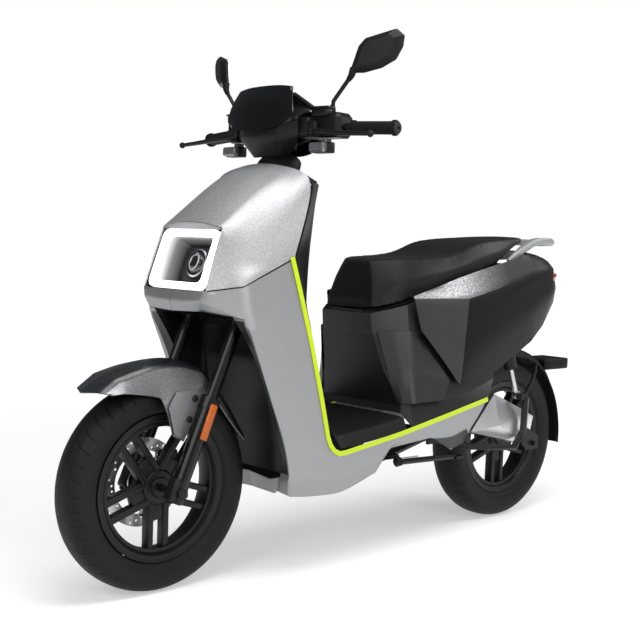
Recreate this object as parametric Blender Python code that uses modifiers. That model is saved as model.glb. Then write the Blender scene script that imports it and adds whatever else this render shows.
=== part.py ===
"""Electric moped scooter, built as separate named parts. Metres, +Z up, +X forward, +Y to the rider's left.

The origin is on the ground, under the middle of the whole length. Each object is one part.
"""

from math import asin, cos, pi, radians, sin

import bmesh
import bpy
from mathutils import Matrix, Vector

# Driving dimensions
LENGTH = 1.920
WHEELBASE = 1.336
WHEEL_RADIUS = 0.258
FRONT_AXLE_X = LENGTH / 2 - WHEEL_RADIUS
REAR_AXLE_X = FRONT_AXLE_X - WHEELBASE
AXLE_Z = WHEEL_RADIUS
RIM_RADIUS = 0.182
FRONT_TYRE_WIDTH = 0.100
REAR_TYRE_WIDTH = 0.110
RAKE = radians(23)
FORK_OFFSET = 0.035
FORK_HALF_SPAN = 0.098
SHELL = 0.0032
GAP = 0.0006
SEAT_SEAM = 0.0022
SWING_PIVOT = Vector((-0.270, 0, 0.300))
SHOCK_LOWER = Vector((-0.566, 0, 0.413))
SHOCK_UPPER = Vector((-0.459, 0, 0.672))
SHOCK_Y = 0.135
SEAT_HINGE = Vector((0.058, 0, 0.6805))
SIDE_STAND_PIVOT = Vector((-0.020, 0.146, 0.262))
SIDE_STAND_AXIS = Vector((0.103, -0.906, -0.3855)).normalized()
WHEEL_SEGMENTS = 28

FORK_UP = Vector((-sin(RAKE), 0, cos(RAKE)))
FORK_FORWARD = Vector((cos(RAKE), 0, sin(RAKE)))
FRONT_AXLE = Vector((FRONT_AXLE_X, 0, AXLE_Z))
REAR_AXLE = Vector((REAR_AXLE_X, 0, AXLE_Z))
STEER_FOOT = FRONT_AXLE - FORK_OFFSET * FORK_FORWARD

# Material colours: name -> (red, green, blue, roughness, metallic)
FINISHES = {
    "silver_paint": (0.62, 0.63, 0.64, 0.35, 0.6),
    "black_plastic": (0.025, 0.026, 0.028, 0.55, 0.0),
    "dark_grey_plastic": (0.07, 0.07, 0.075, 0.5, 0.0),
    "satin_black_paint": (0.02, 0.02, 0.022, 0.35, 0.3),
    "seat_leather": (0.03, 0.03, 0.03, 0.6, 0.0),
    "tyre_rubber": (0.03, 0.03, 0.03, 0.8, 0.0),
    "rim_paint": (0.04, 0.04, 0.042, 0.45, 0.5),
    "steel": (0.55, 0.55, 0.56, 0.35, 1.0),
    "black_steel": (0.03, 0.03, 0.032, 0.45, 0.6),
    "cast_aluminium": (0.70, 0.71, 0.72, 0.4, 0.9),
    "grip_rubber": (0.02, 0.02, 0.02, 0.85, 0.0),
    "light_ring": (0.95, 0.95, 0.97, 0.3, 0.0),
    "clear_lens": (0.75, 0.76, 0.78, 0.15, 0.0),
    "red_lens": (0.45, 0.03, 0.02, 0.2, 0.0),
    "battery_case": (0.12, 0.13, 0.14, 0.6, 0.0),
}


def clear_scene():
    for item in list(bpy.data.objects):
        bpy.data.objects.remove(item)


def new_collection(name, shown=True):
    made = bpy.data.collections.new(name)
    bpy.context.scene.collection.children.link(made)
    made.hide_render = not shown
    return made


def finish_material(name):
    found = bpy.data.materials.get(name)
    if found:
        return found
    red, green, blue, roughness, metallic = FINISHES[name]
    made = bpy.data.materials.new(name)
    made.use_nodes = True
    shader = made.node_tree.nodes["Principled BSDF"]
    shader.inputs["Base Color"].default_value = (red, green, blue, 1)
    shader.inputs["Roughness"].default_value = roughness
    shader.inputs["Metallic"].default_value = metallic
    return made


clear_scene()
PARTS = new_collection("moped_scooter")
HELPERS = new_collection("cutters", shown=False)


def place(obj, finish=None):
    """Links an object as a shown part, or as a hidden helper when it has no finish."""
    for owner in list(obj.users_collection):
        owner.objects.unlink(obj)
    if finish:
        PARTS.objects.link(obj)
        obj.data.materials.clear()
        obj.data.materials.append(finish_material(finish))
    else:
        HELPERS.objects.link(obj)
        obj.hide_render = True
        obj.display_type = "WIRE"
    return obj


def mesh_object(name, mesh_maker, finish=None):
    grid = bmesh.new()
    mesh_maker(grid)
    mesh = bpy.data.meshes.new(name)
    grid.to_mesh(mesh)
    grid.free()
    obj = bpy.data.objects.new(name, mesh)
    return place(obj, finish)


def axis_matrix(centre, axis):
    """A frame at centre whose Z lies along axis."""
    turn = Vector((0, 0, 1)).rotation_difference(Vector(axis).normalized())
    return Matrix.Translation(Vector(centre)) @ turn.to_matrix().to_4x4()


def rod(name, start, end, radius, finish=None, sides=16, end_radius=None):
    """A straight cylinder or cone between two points."""
    start = Vector(start)
    end = Vector(end)

    def make(grid):
        bmesh.ops.create_cone(
            grid, cap_ends=True, segments=sides, radius1=radius,
            radius2=radius if end_radius is None else end_radius,
            depth=(end - start).length,
            matrix=axis_matrix((start + end) / 2, end - start),
        )

    return mesh_object(name, make, finish)


def across(name, centre, reach, radius, finish=None, left=None, sides=16):
    """A rod along Y through centre, reaching as far to each side, or further to the left."""
    start = Vector(centre) + Vector((0, -reach, 0))
    end = Vector(centre) + Vector((0, reach if left is None else left, 0))
    return rod(name, start, end, radius, finish, sides)


def block(name, centre, size, finish=None, bevel=0.0, turn=None):
    """A box of a given size, with rounded edges if bevel is over zero."""
    spin = turn.to_4x4() if turn else Matrix.Identity(4)
    scale = Matrix.Diagonal((*size, 1))

    def make(grid):
        bmesh.ops.create_cube(grid, size=1, matrix=Matrix.Translation(Vector(centre)) @ spin @ scale)
        if bevel:
            bmesh.ops.bevel(grid, geom=grid.edges[:], offset=bevel, segments=1, affect="EDGES")

    return mesh_object(name, make, finish)


def ball(name, centre, radius, finish=None, rings=8):
    def make(grid):
        bmesh.ops.create_uvsphere(
            grid, u_segments=12, v_segments=rings, radius=radius, matrix=Matrix.Translation(Vector(centre))
        )

    return mesh_object(name, make, finish)


def tube(name, points, radius, finish=None, sides=2, cyclic=False):
    """A round tube along points, as a mesh with welded caps."""
    data = bpy.data.curves.new(name, "CURVE")
    data.dimensions = "3D"
    data.bevel_depth = radius
    data.bevel_resolution = sides
    data.use_fill_caps = not cyclic
    line = data.splines.new("POLY")
    line.points.add(len(points) - 1)
    line.use_cyclic_u = cyclic
    for spot, point in zip(line.points, points):
        spot.co = (*point, 1)
    return curve_to_mesh(bpy.data.objects.new(name, data), finish)


def curve_to_mesh(curve, finish=None):
    """Turns a curve object into a mesh object with welded caps."""
    bpy.context.scene.collection.objects.link(curve)
    bpy.context.view_layer.update()
    graph = bpy.context.evaluated_depsgraph_get()
    mesh = bpy.data.meshes.new_from_object(curve.evaluated_get(graph))
    name = curve.name
    matrix = curve.matrix_world.copy()
    bpy.data.objects.remove(curve)
    grid = bmesh.new()
    grid.from_mesh(mesh)
    bmesh.ops.remove_doubles(grid, verts=grid.verts, dist=1e-5)
    bmesh.ops.transform(grid, matrix=matrix, verts=grid.verts)
    grid.to_mesh(mesh)
    grid.free()
    return place(bpy.data.objects.new(name, mesh), finish)


def plate(name, outline, thickness, matrix, finish=None, holes=()):
    """A flat plate from a 2D outline, with holes, centred on its own plane."""
    data = bpy.data.curves.new(name, "CURVE")
    data.dimensions = "2D"
    data.fill_mode = "BOTH"
    data.extrude = thickness / 2
    for loop in (outline, *holes):
        line = data.splines.new("POLY")
        line.points.add(len(loop) - 1)
        line.use_cyclic_u = True
        for spot, point in zip(line.points, loop):
            spot.co = (point[0], point[1], 0, 1)
    obj = bpy.data.objects.new(name, data)
    obj.matrix_world = matrix
    return curve_to_mesh(obj, finish)


def side_plane(y):
    """A frame whose X and Y are the scooter's X and Z, at a given Y."""
    return Matrix.Translation((0, y, 0)) @ Matrix.Rotation(pi / 2, 4, "X")


def circle(radius, count, centre=(0, 0), first=0.0):
    turns = [first + 2 * pi * i / count for i in range(count)]
    return [(centre[0] + radius * cos(a), centre[1] + radius * sin(a)) for a in turns]


def turned(name, profile, centre, finish=None, closed=True, segments=WHEEL_SEGMENTS):
    """A ring or disc turned about the scooter's Y axis. The profile is (radius, y) pairs."""
    mesh = bpy.data.meshes.new(name)
    count = len(profile)
    edges = [(i, (i + 1) % count) for i in range(count if closed else count - 1)]
    mesh.from_pydata([(radius, 0, y) for radius, y in profile], edges, [])
    obj = bpy.data.objects.new(name, mesh)
    screw = obj.modifiers.new("turn", "SCREW")
    screw.axis = "Z"
    screw.steps = segments
    screw.render_steps = segments
    screw.use_merge_vertices = True
    screw.merge_threshold = 0.0001
    screw.use_smooth_shade = True
    phase = Matrix.Rotation(pi / segments, 4, "Z")
    obj.matrix_world = Matrix.Translation(centre) @ Matrix.Rotation(-pi / 2, 4, "X") @ phase
    bpy.context.scene.collection.objects.link(obj)
    return frozen(obj, name, finish, outward=True)


def frozen(obj, name, finish, outward=False):
    """Applies an object's modifiers and place, and keeps the result under the same name."""
    bpy.context.view_layer.update()
    graph = bpy.context.evaluated_depsgraph_get()
    mesh = bpy.data.meshes.new_from_object(obj.evaluated_get(graph))
    matrix = obj.matrix_world.copy()
    bpy.data.objects.remove(obj)
    grid = bmesh.new()
    grid.from_mesh(mesh)
    bmesh.ops.transform(grid, matrix=matrix, verts=grid.verts)
    if outward:
        bmesh.ops.recalc_face_normals(grid, faces=grid.faces)
    grid.to_mesh(mesh)
    grid.free()
    made = bpy.data.objects.new(name, mesh)
    return place(made, finish)


def combine(obj, others, operation, finish=None):
    """Applies Boolean operations of the others to obj."""
    for other in others:
        step = obj.modifiers.new(operation, "BOOLEAN")
        step.operation = operation
        step.solver = "EXACT"
        step.object = other
    return frozen(obj, obj.name, finish)


def union(obj, *others, finish=None):
    return combine(obj, others, "UNION", finish)


def cut(obj, *others, finish=None):
    return combine(obj, others, "DIFFERENCE", finish)


def flip_side(points):
    return [(x, -y, z) for x, y, z in points]


def surface(name, patches, thickness, finish=None, mirrored=False, right=False, inward=True):
    """A shell from patches of rows of points. Patches share points where they meet.

    mirrored adds the other half across the middle plane; right turns a left piece into a right one.
    """
    mesh = bpy.data.meshes.new(name)
    grid = bmesh.new()
    for rows in patches:
        if right:
            rows = [flip_side(row) for row in rows]
        spots = [[grid.verts.new(point) for point in row] for row in rows]
        for upper, lower in zip(spots, spots[1:]):
            for i in range(len(upper) - 1):
                corners = [upper[i], lower[i], lower[i + 1], upper[i + 1]]
                grid.faces.new(corners[::-1] if right else corners)
    if mirrored:
        half = grid.verts[:] + grid.edges[:] + grid.faces[:]
        bmesh.ops.mirror(grid, geom=half, axis="Y", merge_dist=0.0001)
    bmesh.ops.remove_doubles(grid, verts=grid.verts, dist=0.0002)
    bmesh.ops.recalc_face_normals(grid, faces=grid.faces)
    grid.to_mesh(mesh)
    grid.free()
    obj = bpy.data.objects.new(name, mesh)
    bpy.context.scene.collection.objects.link(obj)
    thick = obj.modifiers.new("wall", "SOLIDIFY")
    thick.thickness = thickness
    thick.offset = -1 if inward else 1
    thick.use_even_offset = False
    return frozen(obj, name, finish, outward=True)


def lofted(name, rings, finish=None, mirrored=False):
    """A closed solid through rings of points, capped at both ends.

    mirrored says that each ring is a half outline from middle to middle, to be completed across Y.
    """
    if mirrored:
        rings = [ring + flip_side(reversed(ring[1:-1])) for ring in rings]
    mesh = bpy.data.meshes.new(name)
    grid = bmesh.new()
    spots = [[grid.verts.new(point) for point in ring] for ring in rings]
    for near, far in zip(spots, spots[1:]):
        for i in range(len(near)):
            following = (i + 1) % len(near)
            grid.faces.new([near[i], near[following], far[following], far[i]])
    grid.faces.new(spots[0])
    grid.faces.new(spots[-1])
    bmesh.ops.recalc_face_normals(grid, faces=grid.faces)
    grid.to_mesh(mesh)
    grid.free()
    return place(bpy.data.objects.new(name, mesh), finish)


def hull(name, points, finish=None):
    """The convex solid around points, for cast faceted shapes."""

    def make(grid):
        for point in points:
            grid.verts.new(point)
        made = bmesh.ops.convex_hull(grid, input=grid.verts)
        loose = [item for item in made["geom_interior"] if isinstance(item, bmesh.types.BMVert)]
        bmesh.ops.delete(grid, geom=loose, context="VERTS")
        bmesh.ops.recalc_face_normals(grid, faces=grid.faces)

    return mesh_object(name, make, finish)


def on_fork(distance, side=0.0):
    """A point on a fork leg's axis, a distance up from the wheel axle."""
    return FRONT_AXLE + distance * FORK_UP + Vector((0, side, 0))


def on_column(height):
    """The point of the steering axis at a given height."""
    return STEER_FOOT + FORK_UP * ((height - STEER_FOOT.z) / cos(RAKE))


SIDES = (("left", 1), ("right", -1))

# The seat box's outer surface, from its top edge down; each row runs from the middle of the front to the rear
SEAT_BOX_ROWS = [
    [(0.066, 0, 0.6765), (0.064, 0.096, 0.6760), (0.022, 0.125, 0.688), (-0.030, 0.147, 0.702),
     (-0.130, 0.158, 0.733), (-0.250, 0.160, 0.765), (-0.400, 0.150, 0.800)],
    [(0.058, 0, 0.619), (0.056, 0.100, 0.619), (0.016, 0.133, 0.622), (-0.030, 0.157, 0.622),
     (-0.100, 0.168, 0.620), (-0.250, 0.165, 0.650), (-0.400, 0.156, 0.690)],
    [(0.029, 0, 0.521), (0.026, 0.118, 0.520), (0.000, 0.150, 0.520), (-0.030, 0.170, 0.520),
     (-0.130, 0.184, 0.520), (-0.250, 0.185, 0.535), (-0.400, 0.166, 0.560)],
    [(0.003, 0, 0.425), (0.000, 0.124, 0.425), (-0.006, 0.160, 0.425), (-0.020, 0.184, 0.425),
     (-0.150, 0.190, 0.433), (-0.270, 0.190, 0.450), (-0.400, 0.172, 0.480)],
]


def wheel_ring(profile):
    """Scales a wheel profile so that the flats between its many corners have the true radius."""
    return [(radius / cos(pi / WHEEL_SEGMENTS), y) for radius, y in profile]


def both_sides(half):
    """Completes a closed profile given from its outside to its inside on the +Y side."""
    return half + [(radius, -y) for radius, y in reversed(half)]


def arc(radius, start, end, steps):
    turns = [start + (end - start) * i / steps for i in range(steps + 1)]
    return [(radius * cos(a), radius * sin(a)) for a in turns]


def build_tyre(name, axle, half_width):
    profile = both_sides([
        (WHEEL_RADIUS, 0.018), (0.2535, half_width * 0.68), (0.243, half_width * 0.91),
        (0.226, half_width), (0.205, half_width * 0.97), (0.1865, 0.0425), (0.1828, 0.0400),
        (0.1828, 0.0350), (0.1748, 0.0350), (0.1748, 0.0260), (0.192, 0.0300),
        (0.236, half_width * 0.74), (0.2475, 0.012),
    ])
    turned(name, wheel_ring(profile), axle, "tyre_rubber")


def build_rim(name, axle, hub_right):
    """A cast wheel: a barrel, a hub, and a face with five pairs of parallel bars."""
    barrel = turned("barrel", wheel_ring(both_sides([
        (0.160, 0.010), (0.167, 0.0385), (RIM_RADIUS, 0.0396), (RIM_RADIUS, 0.0354), (0.1742, 0.0354),
    ])), axle)
    bar_side = 0.020
    bar_half = 0.007
    inner, outer = 0.050, 0.150
    holes = []
    for i in range(5):
        middle = pi / 2 + 2 * pi * i / 5
        narrow = bar_side - bar_half
        wide = bar_side + bar_half
        slot = [(inner, -narrow), (outer, -narrow), (outer, narrow), (inner, narrow)]
        spoke = Matrix.Rotation(middle, 2)
        holes.append([tuple(spoke @ Vector(corner)) for corner in slot])
        near = (middle + asin(wide / inner), middle + 2 * pi / 5 - asin(wide / inner))
        far = (middle + asin(wide / outer), middle + 2 * pi / 5 - asin(wide / outer))
        holes.append(arc(outer, *far, 5) + arc(inner, near[1], near[0], 1))
    face = plate("face", circle(0.1635, WHEEL_SEGMENTS), 0.022,
                 Matrix.Translation(axle) @ side_plane(0.010), holes=holes)
    hub = rod("hub", axle + Vector((0, -hub_right, 0)), axle + Vector((0, 0.034, 0)), 0.036, sides=20)
    bore = across("bore", axle, 0.2, 0.0086)
    joined = union(barrel, face, hub)
    joined.name = name
    cut(joined, bore, finish="rim_paint")


def build_wheels():
    build_tyre("front_tyre", FRONT_AXLE, FRONT_TYRE_WIDTH / 2)
    build_tyre("rear_tyre", REAR_AXLE, REAR_TYRE_WIDTH / 2)
    build_rim("front_rim", FRONT_AXLE, 0.0465)
    build_rim("rear_rim", REAR_AXLE, 0.050)
    across("rear_axle", REAR_AXLE, 0.128, 0.0080, "steel", left=0.172)
    across("front_axle", FRONT_AXLE, 0.124, 0.0080, "steel")
    holes = [arc(0.084, a + 0.12, a + 2 * pi / 5 - 0.12, 3) + arc(0.046, a + 2 * pi / 5 - 0.25, a + 0.25, 2)
             for a in (2 * pi * i / 5 for i in range(5))]
    holes.append(circle(0.0095, 12))
    plate("front_brake_disc", circle(0.112, 36), 0.004, Matrix.Translation(FRONT_AXLE) @ side_plane(-0.050),
          "steel", holes)


def build_fork():
    """The yoke with its stem and two inner tubes, and the two outer legs that slide on them."""
    stem = rod("fork_yoke", on_column(0.665), on_column(1.091), 0.0165, sides=14)
    plate_outline = [(0.058, 0.118), (0.014, 0.118), (-0.022, 0.030), (-0.022, -0.030), (0.014, -0.118),
                     (0.058, -0.118), (0.040, -0.060), (0.040, 0.060)]
    turn = Matrix((FORK_FORWARD, Vector((0, 1, 0)), FORK_UP)).transposed().to_4x4()
    clamp_place = Matrix.Translation(on_fork(0.455) - FORK_OFFSET * FORK_FORWARD) @ turn
    clamp = plate("clamp", plate_outline, 0.028, clamp_place)
    tubes = []
    for y in (FORK_HALF_SPAN, -FORK_HALF_SPAN):
        tubes.append(rod("inner_tube", on_fork(0.105, y), on_fork(0.475, y), 0.0160))
    union(stem, clamp, *tubes, finish="black_steel")
    for side, sign in SIDES:
        y = sign * FORK_HALF_SPAN
        leg = rod(f"fork_leg_{side}", on_fork(-0.024, y), on_fork(0.236, y), 0.0205)
        collar = rod("collar", on_fork(0.214, y), on_fork(0.240, y), 0.0245)
        bore = rod("bore", on_fork(0.036, y), on_fork(0.30, y), 0.0168)
        hole = across("hole", FRONT_AXLE + Vector((0, y, 0)), 0.05, 0.0084)
        cut(union(leg, collar), bore, hole, finish="satin_black_paint")
    caliper_rise = radians(28)
    caliper_reach = 0.083
    caliper_at = FRONT_AXLE + caliper_reach * Vector((-cos(caliper_rise), 0, sin(caliper_rise)))
    caliper_at.y = -0.052
    caliper = block("front_caliper", caliper_at, (0.050, 0.040, 0.075), bevel=0.006)
    slot = across("slot", FRONT_AXLE + Vector((0, -0.050, 0)), 0.0045, 0.1165, sides=36)
    cut(caliper, slot, finish="black_steel")


def build_front_fender():
    crown = [
        [(0.912, 0, 0.502), (0.893, 0.045, 0.506), (0.868, 0.070, 0.500)],
        [(0.848, 0, 0.545), (0.845, 0.050, 0.537), (0.842, 0.075, 0.503)],
        [(0.777, 0, 0.567), (0.777, 0.055, 0.555), (0.775, 0.078, 0.495)],
        [(0.738, 0, 0.571), (0.738, 0.056, 0.559), (0.741, 0.079, 0.486)],
        [(0.691, 0, 0.574), (0.695, 0.057, 0.561), (0.700, 0.079, 0.500)],
        [(0.640, 0, 0.567), (0.645, 0.056, 0.555), (0.655, 0.079, 0.500)],
        [(0.600, 0, 0.555), (0.605, 0.054, 0.543), (0.614, 0.076, 0.510)],
        [(0.546, 0, 0.509), (0.556, 0.052, 0.500), (0.572, 0.068, 0.478)],
        [(0.495, 0, 0.438), (0.503, 0.050, 0.433), (0.520, 0.062, 0.412)],
        [(0.455, 0, 0.365), (0.459, 0.048, 0.365), (0.466, 0.060, 0.357)],
    ]
    bracket = [
        [row[2] for row in crown[3:7]],
        [(0.723, 0.079, 0.456), (0.704, 0.079, 0.392), (0.672, 0.079, 0.376), (0.630, 0.077, 0.466)],
    ]
    surface("front_fender", [crown, bracket], SHELL, "satin_black_paint", mirrored=True)


def build_front_cowl():
    hood = [
        [(0.394, 0, 1.062), (0.392, 0.06, 1.058), (0.390, 0.12, 1.047), (0.388, 0.165, 1.036),
         (0.385, 0.19, 1.012)],
        [(0.470, 0, 1.025), (0.468, 0.06, 1.021), (0.462, 0.12, 1.003), (0.44, 0.172, 0.975),
         (0.396, 0.195, 0.965)],
        [(0.550, 0, 0.968), (0.547, 0.06, 0.964), (0.535, 0.12, 0.945), (0.485, 0.183, 0.90),
         (0.412, 0.198, 0.915)],
        [(0.618, 0, 0.906), (0.614, 0.06, 0.903), (0.604, 0.12, 0.892), (0.53, 0.19, 0.83),
         (0.428, 0.200, 0.870)],
    ]
    cheek = [
        hood[3][2:],
        [(0.632, 0.122, 0.815), (0.57, 0.196, 0.79), (0.437, 0.2005, 0.845)],
        [(0.6545, 0.126, 0.741), (0.598, 0.1985, 0.756), (0.443, 0.2010, 0.826)],
    ]
    surface("front_cowl", [hood, cheek], SHELL, "silver_paint", mirrored=True)


def build_fairings():
    """The satin lower bodywork of each side: half of the chin, the leg shield and the skirt."""
    g = GAP
    chin = [
        [(0.6600, g, 0.7385), (0.6595, 0.06, 0.7385), (0.6550, 0.127, 0.7375)],
        [(0.6670, g, 0.712), (0.6665, 0.06, 0.713), (0.6590, 0.118, 0.715)],
        [(0.6590, g, 0.687), (0.6600, 0.06, 0.689), (0.6500, 0.108, 0.691)],
    ]
    shield = [
        [chin[0][2], (0.599, 0.1985, 0.752), (0.520, 0.2005, 0.787), (0.443, 0.2010, 0.822)],
        [chin[1][2], (0.594, 0.1995, 0.715), (0.510, 0.2015, 0.748), (0.431, 0.2020, 0.775)],
        [chin[2][2], (0.587, 0.2, 0.677), (0.500, 0.2022, 0.700), (0.413, 0.2025, 0.712)],
        [(0.600, 0.160, 0.683), (0.577, 0.2, 0.650), (0.490, 0.2025, 0.660), (0.402, 0.203, 0.680)],
        [(0.539, 0.165, 0.600), (0.556, 0.2, 0.604), (0.466, 0.203, 0.612), (0.382, 0.203, 0.623)],
        [(0.505, 0.165, 0.525), (0.525, 0.2, 0.530), (0.440, 0.203, 0.540), (0.359, 0.203, 0.545)],
        [(0.476, 0.165, 0.449), (0.492, 0.2, 0.452), (0.410, 0.203, 0.462), (0.337, 0.203, 0.469)],
        [(0.447, 0.165, 0.371), (0.460, 0.2, 0.380), (0.385, 0.203, 0.386), (0.316, 0.203, 0.390)],
        [(0.426, 0.164, 0.316), (0.441, 0.198, 0.325), (0.375, 0.201, 0.325), (0.300, 0.203, 0.345)],
        [(0.430, 0.158, 0.274), (0.428, 0.192, 0.270), (0.365, 0.199, 0.268), (0.290, 0.2005, 0.270)],
        [(0.415, 0.130, 0.232), (0.404, 0.168, 0.222), (0.340, 0.172, 0.214), (0.270, 0.174, 0.212)],
    ]
    skirt = [
        [shield[8][3], shield[9][3], shield[10][3]],
        [(0.270, 0.203, 0.323), (0.245, 0.2005, 0.265), (0.228, 0.173, 0.210)],
        [(0.150, 0.203, 0.3385), (0.145, 0.201, 0.275), (0.150, 0.172, 0.232)],
        [(0.075, 0.203, 0.349), (0.078, 0.2015, 0.315), (0.097, 0.172, 0.250)],
        [(0.036, 0.203, 0.354), (0.045, 0.200, 0.335), (0.066, 0.190, 0.316)],
        [(-0.100, 0.203, 0.379), (-0.105, 0.200, 0.352), (-0.111, 0.190, 0.329)],
        [(-0.190, 0.203, 0.396), (-0.195, 0.197, 0.335), (-0.210, 0.175, 0.282)],
        [(-0.250, 0.2025, 0.4075), (-0.260, 0.190, 0.345), (-0.260, 0.180, 0.297)],
        [(-0.337, 0.2, 0.424), (-0.310, 0.199, 0.385), (-0.274, 0.196, 0.343)],
    ]
    belly = [
        [shield[9][0], (0.412, 0.10, 0.256), (0.402, g, 0.262)],
        [shield[10][0], (0.395, 0.10, 0.217), (0.388, g, 0.218)],
    ]
    for side, sign in SIDES:
        surface(f"fairing_{side}", [chin, shield, skirt, belly], SHELL, "silver_paint", right=sign < 0)


def build_splash_guard():
    rows = []
    for height, back, arch in (
        (0.672, 0.418, 0.572), (0.600, 0.418, 0.533), (0.560, 0.428, 0.515), (0.450, 0.414, 0.470),
        (0.350, 0.398, 0.433), (0.290, 0.394, 0.418), (0.270, 0.394, 0.416),
    ):
        inner = [(back, 0, height), (back, 0.115, height), (back + 0.015, 0.148, height)]
        rows.append(inner + [(arch, 0.160, height)])
    surface("splash_guard", [rows], SHELL, "black_plastic", mirrored=True)


def build_inner_leg_shield():
    edge = [
        (0.379, 0.192, 1.010, 0.296), (0.390, 0.195, 0.965, 0.306), (0.406, 0.198, 0.915, 0.312),
        (0.422, 0.200, 0.870, 0.317), (0.436, 0.201, 0.824, 0.322), (0.418, 0.202, 0.747, 0.325),
        (0.396, 0.202, 0.680, 0.325), (0.376, 0.202, 0.623, 0.325), (0.353, 0.202, 0.545, 0.318),
        (0.331, 0.202, 0.469, 0.304), (0.311, 0.202, 0.400, 0.286),
    ]
    rows = []
    for x, y, z, back in edge:
        shoulder = max(x - 0.045, back + 0.010)
        rows.append([(back, 0, z), (back, 0.12, z), (shoulder, 0.160, z), (x, y, z)])
    surface("inner_leg_shield", [rows], SHELL, "black_plastic", mirrored=True, inward=False)


def build_floorboard():
    rows = []
    for x, floor_z, strip_z in (
        (0.286, 0.392, 0.372), (0.262, 0.372, 0.337), (0.150, 0.381, 0.3445), (0.060, 0.393, 0.3575),
        (0.010, 0.400, 0.3650),
    ):
        flat = [(x, 0, floor_z), (x, 0.150, floor_z)]
        rows.append(flat + [(x, 0.186, floor_z - 0.004), (x, 0.2015, strip_z)])
    surface("floorboard", [rows], SHELL, "black_plastic", mirrored=True)


def build_seat_box():
    """The black body under the seat, with its upper band, and the hinge rod that the seat turns on."""
    rows = SEAT_BOX_ROWS
    hem = [
        rows[3][3:],
        [(-0.012, 0.2015, 0.3690), (-0.150, 0.2015, 0.3950), (-0.270, 0.2010, 0.4170),
         (-0.345, 0.1985, 0.4310)],
    ]
    foot = [
        rows[3][:4],
        [(0.0065, 0, 0.4045), (0.0045, 0.124, 0.4045), (0.000, 0.166, 0.4030), hem[1][0]],
    ]
    box = surface("seat_box", [rows, hem, foot], SHELL, mirrored=True)
    x, _, z = SEAT_HINGE
    hinge = rod("hinge", (x, -0.06, z), (x, 0.06, z), 0.0030, sides=10)
    legs = [block("leg", (x, y, z - 0.010), (0.005, 0.016, 0.021)) for y in (-0.045, 0.045)]
    brackets = [block("bracket", (x - 0.0005, y, z - 0.0225), (0.008, 0.020, 0.020)) for y in (-0.045, 0.045)]
    union(box, hinge, *legs, *brackets, finish="black_plastic")


def build_side_panels():
    """The grey panels set on the flanks of the seat box."""
    rows = [
        [(0.050, 0.1125, 0.628), (0.016, 0.1400, 0.630), (-0.030, 0.1640, 0.630), (-0.038, 0.1655, 0.629)],
        [(0.022, 0.1320, 0.520), (0.002, 0.1580, 0.520), (-0.030, 0.1775, 0.520), (-0.138, 0.1916, 0.520)],
        [(0.015, 0.1365, 0.489), (0.001, 0.1620, 0.489), (-0.027, 0.1820, 0.489), (-0.168, 0.1946, 0.489)],
        [(0.001, 0.1480, 0.432), (-0.003, 0.1685, 0.432), (-0.021, 0.1915, 0.432), (-0.140, 0.1976, 0.434)],
    ]
    for side, sign in SIDES:
        surface(f"side_panel_{side}", [rows], 0.0020, "dark_grey_plastic", right=sign < 0, inward=False)


def build_tail():
    g = GAP
    flank = [
        [(-0.025, 0.172, 0.727), (-0.027, 0.176, 0.722), (-0.042, 0.181, 0.665), (-0.052, 0.184, 0.632)],
        [(-0.130, 0.166, 0.752), (-0.128, 0.185, 0.722), (-0.130, 0.196, 0.630), (-0.118, 0.200, 0.562)],
        [(-0.250, 0.164, 0.786), (-0.246, 0.191, 0.720), (-0.225, 0.207, 0.560), (-0.198, 0.211, 0.474)],
        [(-0.400, 0.160, 0.818), (-0.400, 0.188, 0.748), (-0.380, 0.196, 0.600), (-0.360, 0.188, 0.490)],
        [(-0.560, 0.150, 0.850), (-0.570, 0.172, 0.786), (-0.575, 0.176, 0.680), (-0.590, 0.163, 0.583)],
        [(-0.680, 0.128, 0.842), (-0.690, 0.150, 0.812), (-0.710, 0.154, 0.735), (-0.680, 0.140, 0.630)],
        [(-0.745, 0.100, 0.832), (-0.752, 0.118, 0.810), (-0.783, 0.110, 0.745), (-0.772, 0.110, 0.700)],
    ]
    deck = [
        [flank[4][0], (-0.600, 0.100, 0.862), (-0.620, g, 0.864)],
        [flank[5][0], (-0.690, 0.090, 0.852), (-0.695, g, 0.854)],
        [flank[6][0], (-0.750, 0.060, 0.836), (-0.752, g, 0.838)],
    ]
    for side, sign in SIDES:
        surface(f"tail_fairing_{side}", [flank, deck], SHELL, "satin_black_paint", right=sign < 0)
    block("tail_light", (-0.758, 0, 0.768), (0.036, 0.196, 0.070), "red_lens", 0.008)


def build_grab_rail():
    half = [(-0.530, 0.122, 0.842), (-0.580, 0.119, 0.8745), (-0.640, 0.116, 0.9005), (-0.720, 0.108, 0.904),
            (-0.790, 0.085, 0.896), (-0.806, 0.050, 0.893)]
    path = half + flip_side(reversed(half))
    tube("grab_rail", path, 0.0115, "cast_aluminium")


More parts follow.
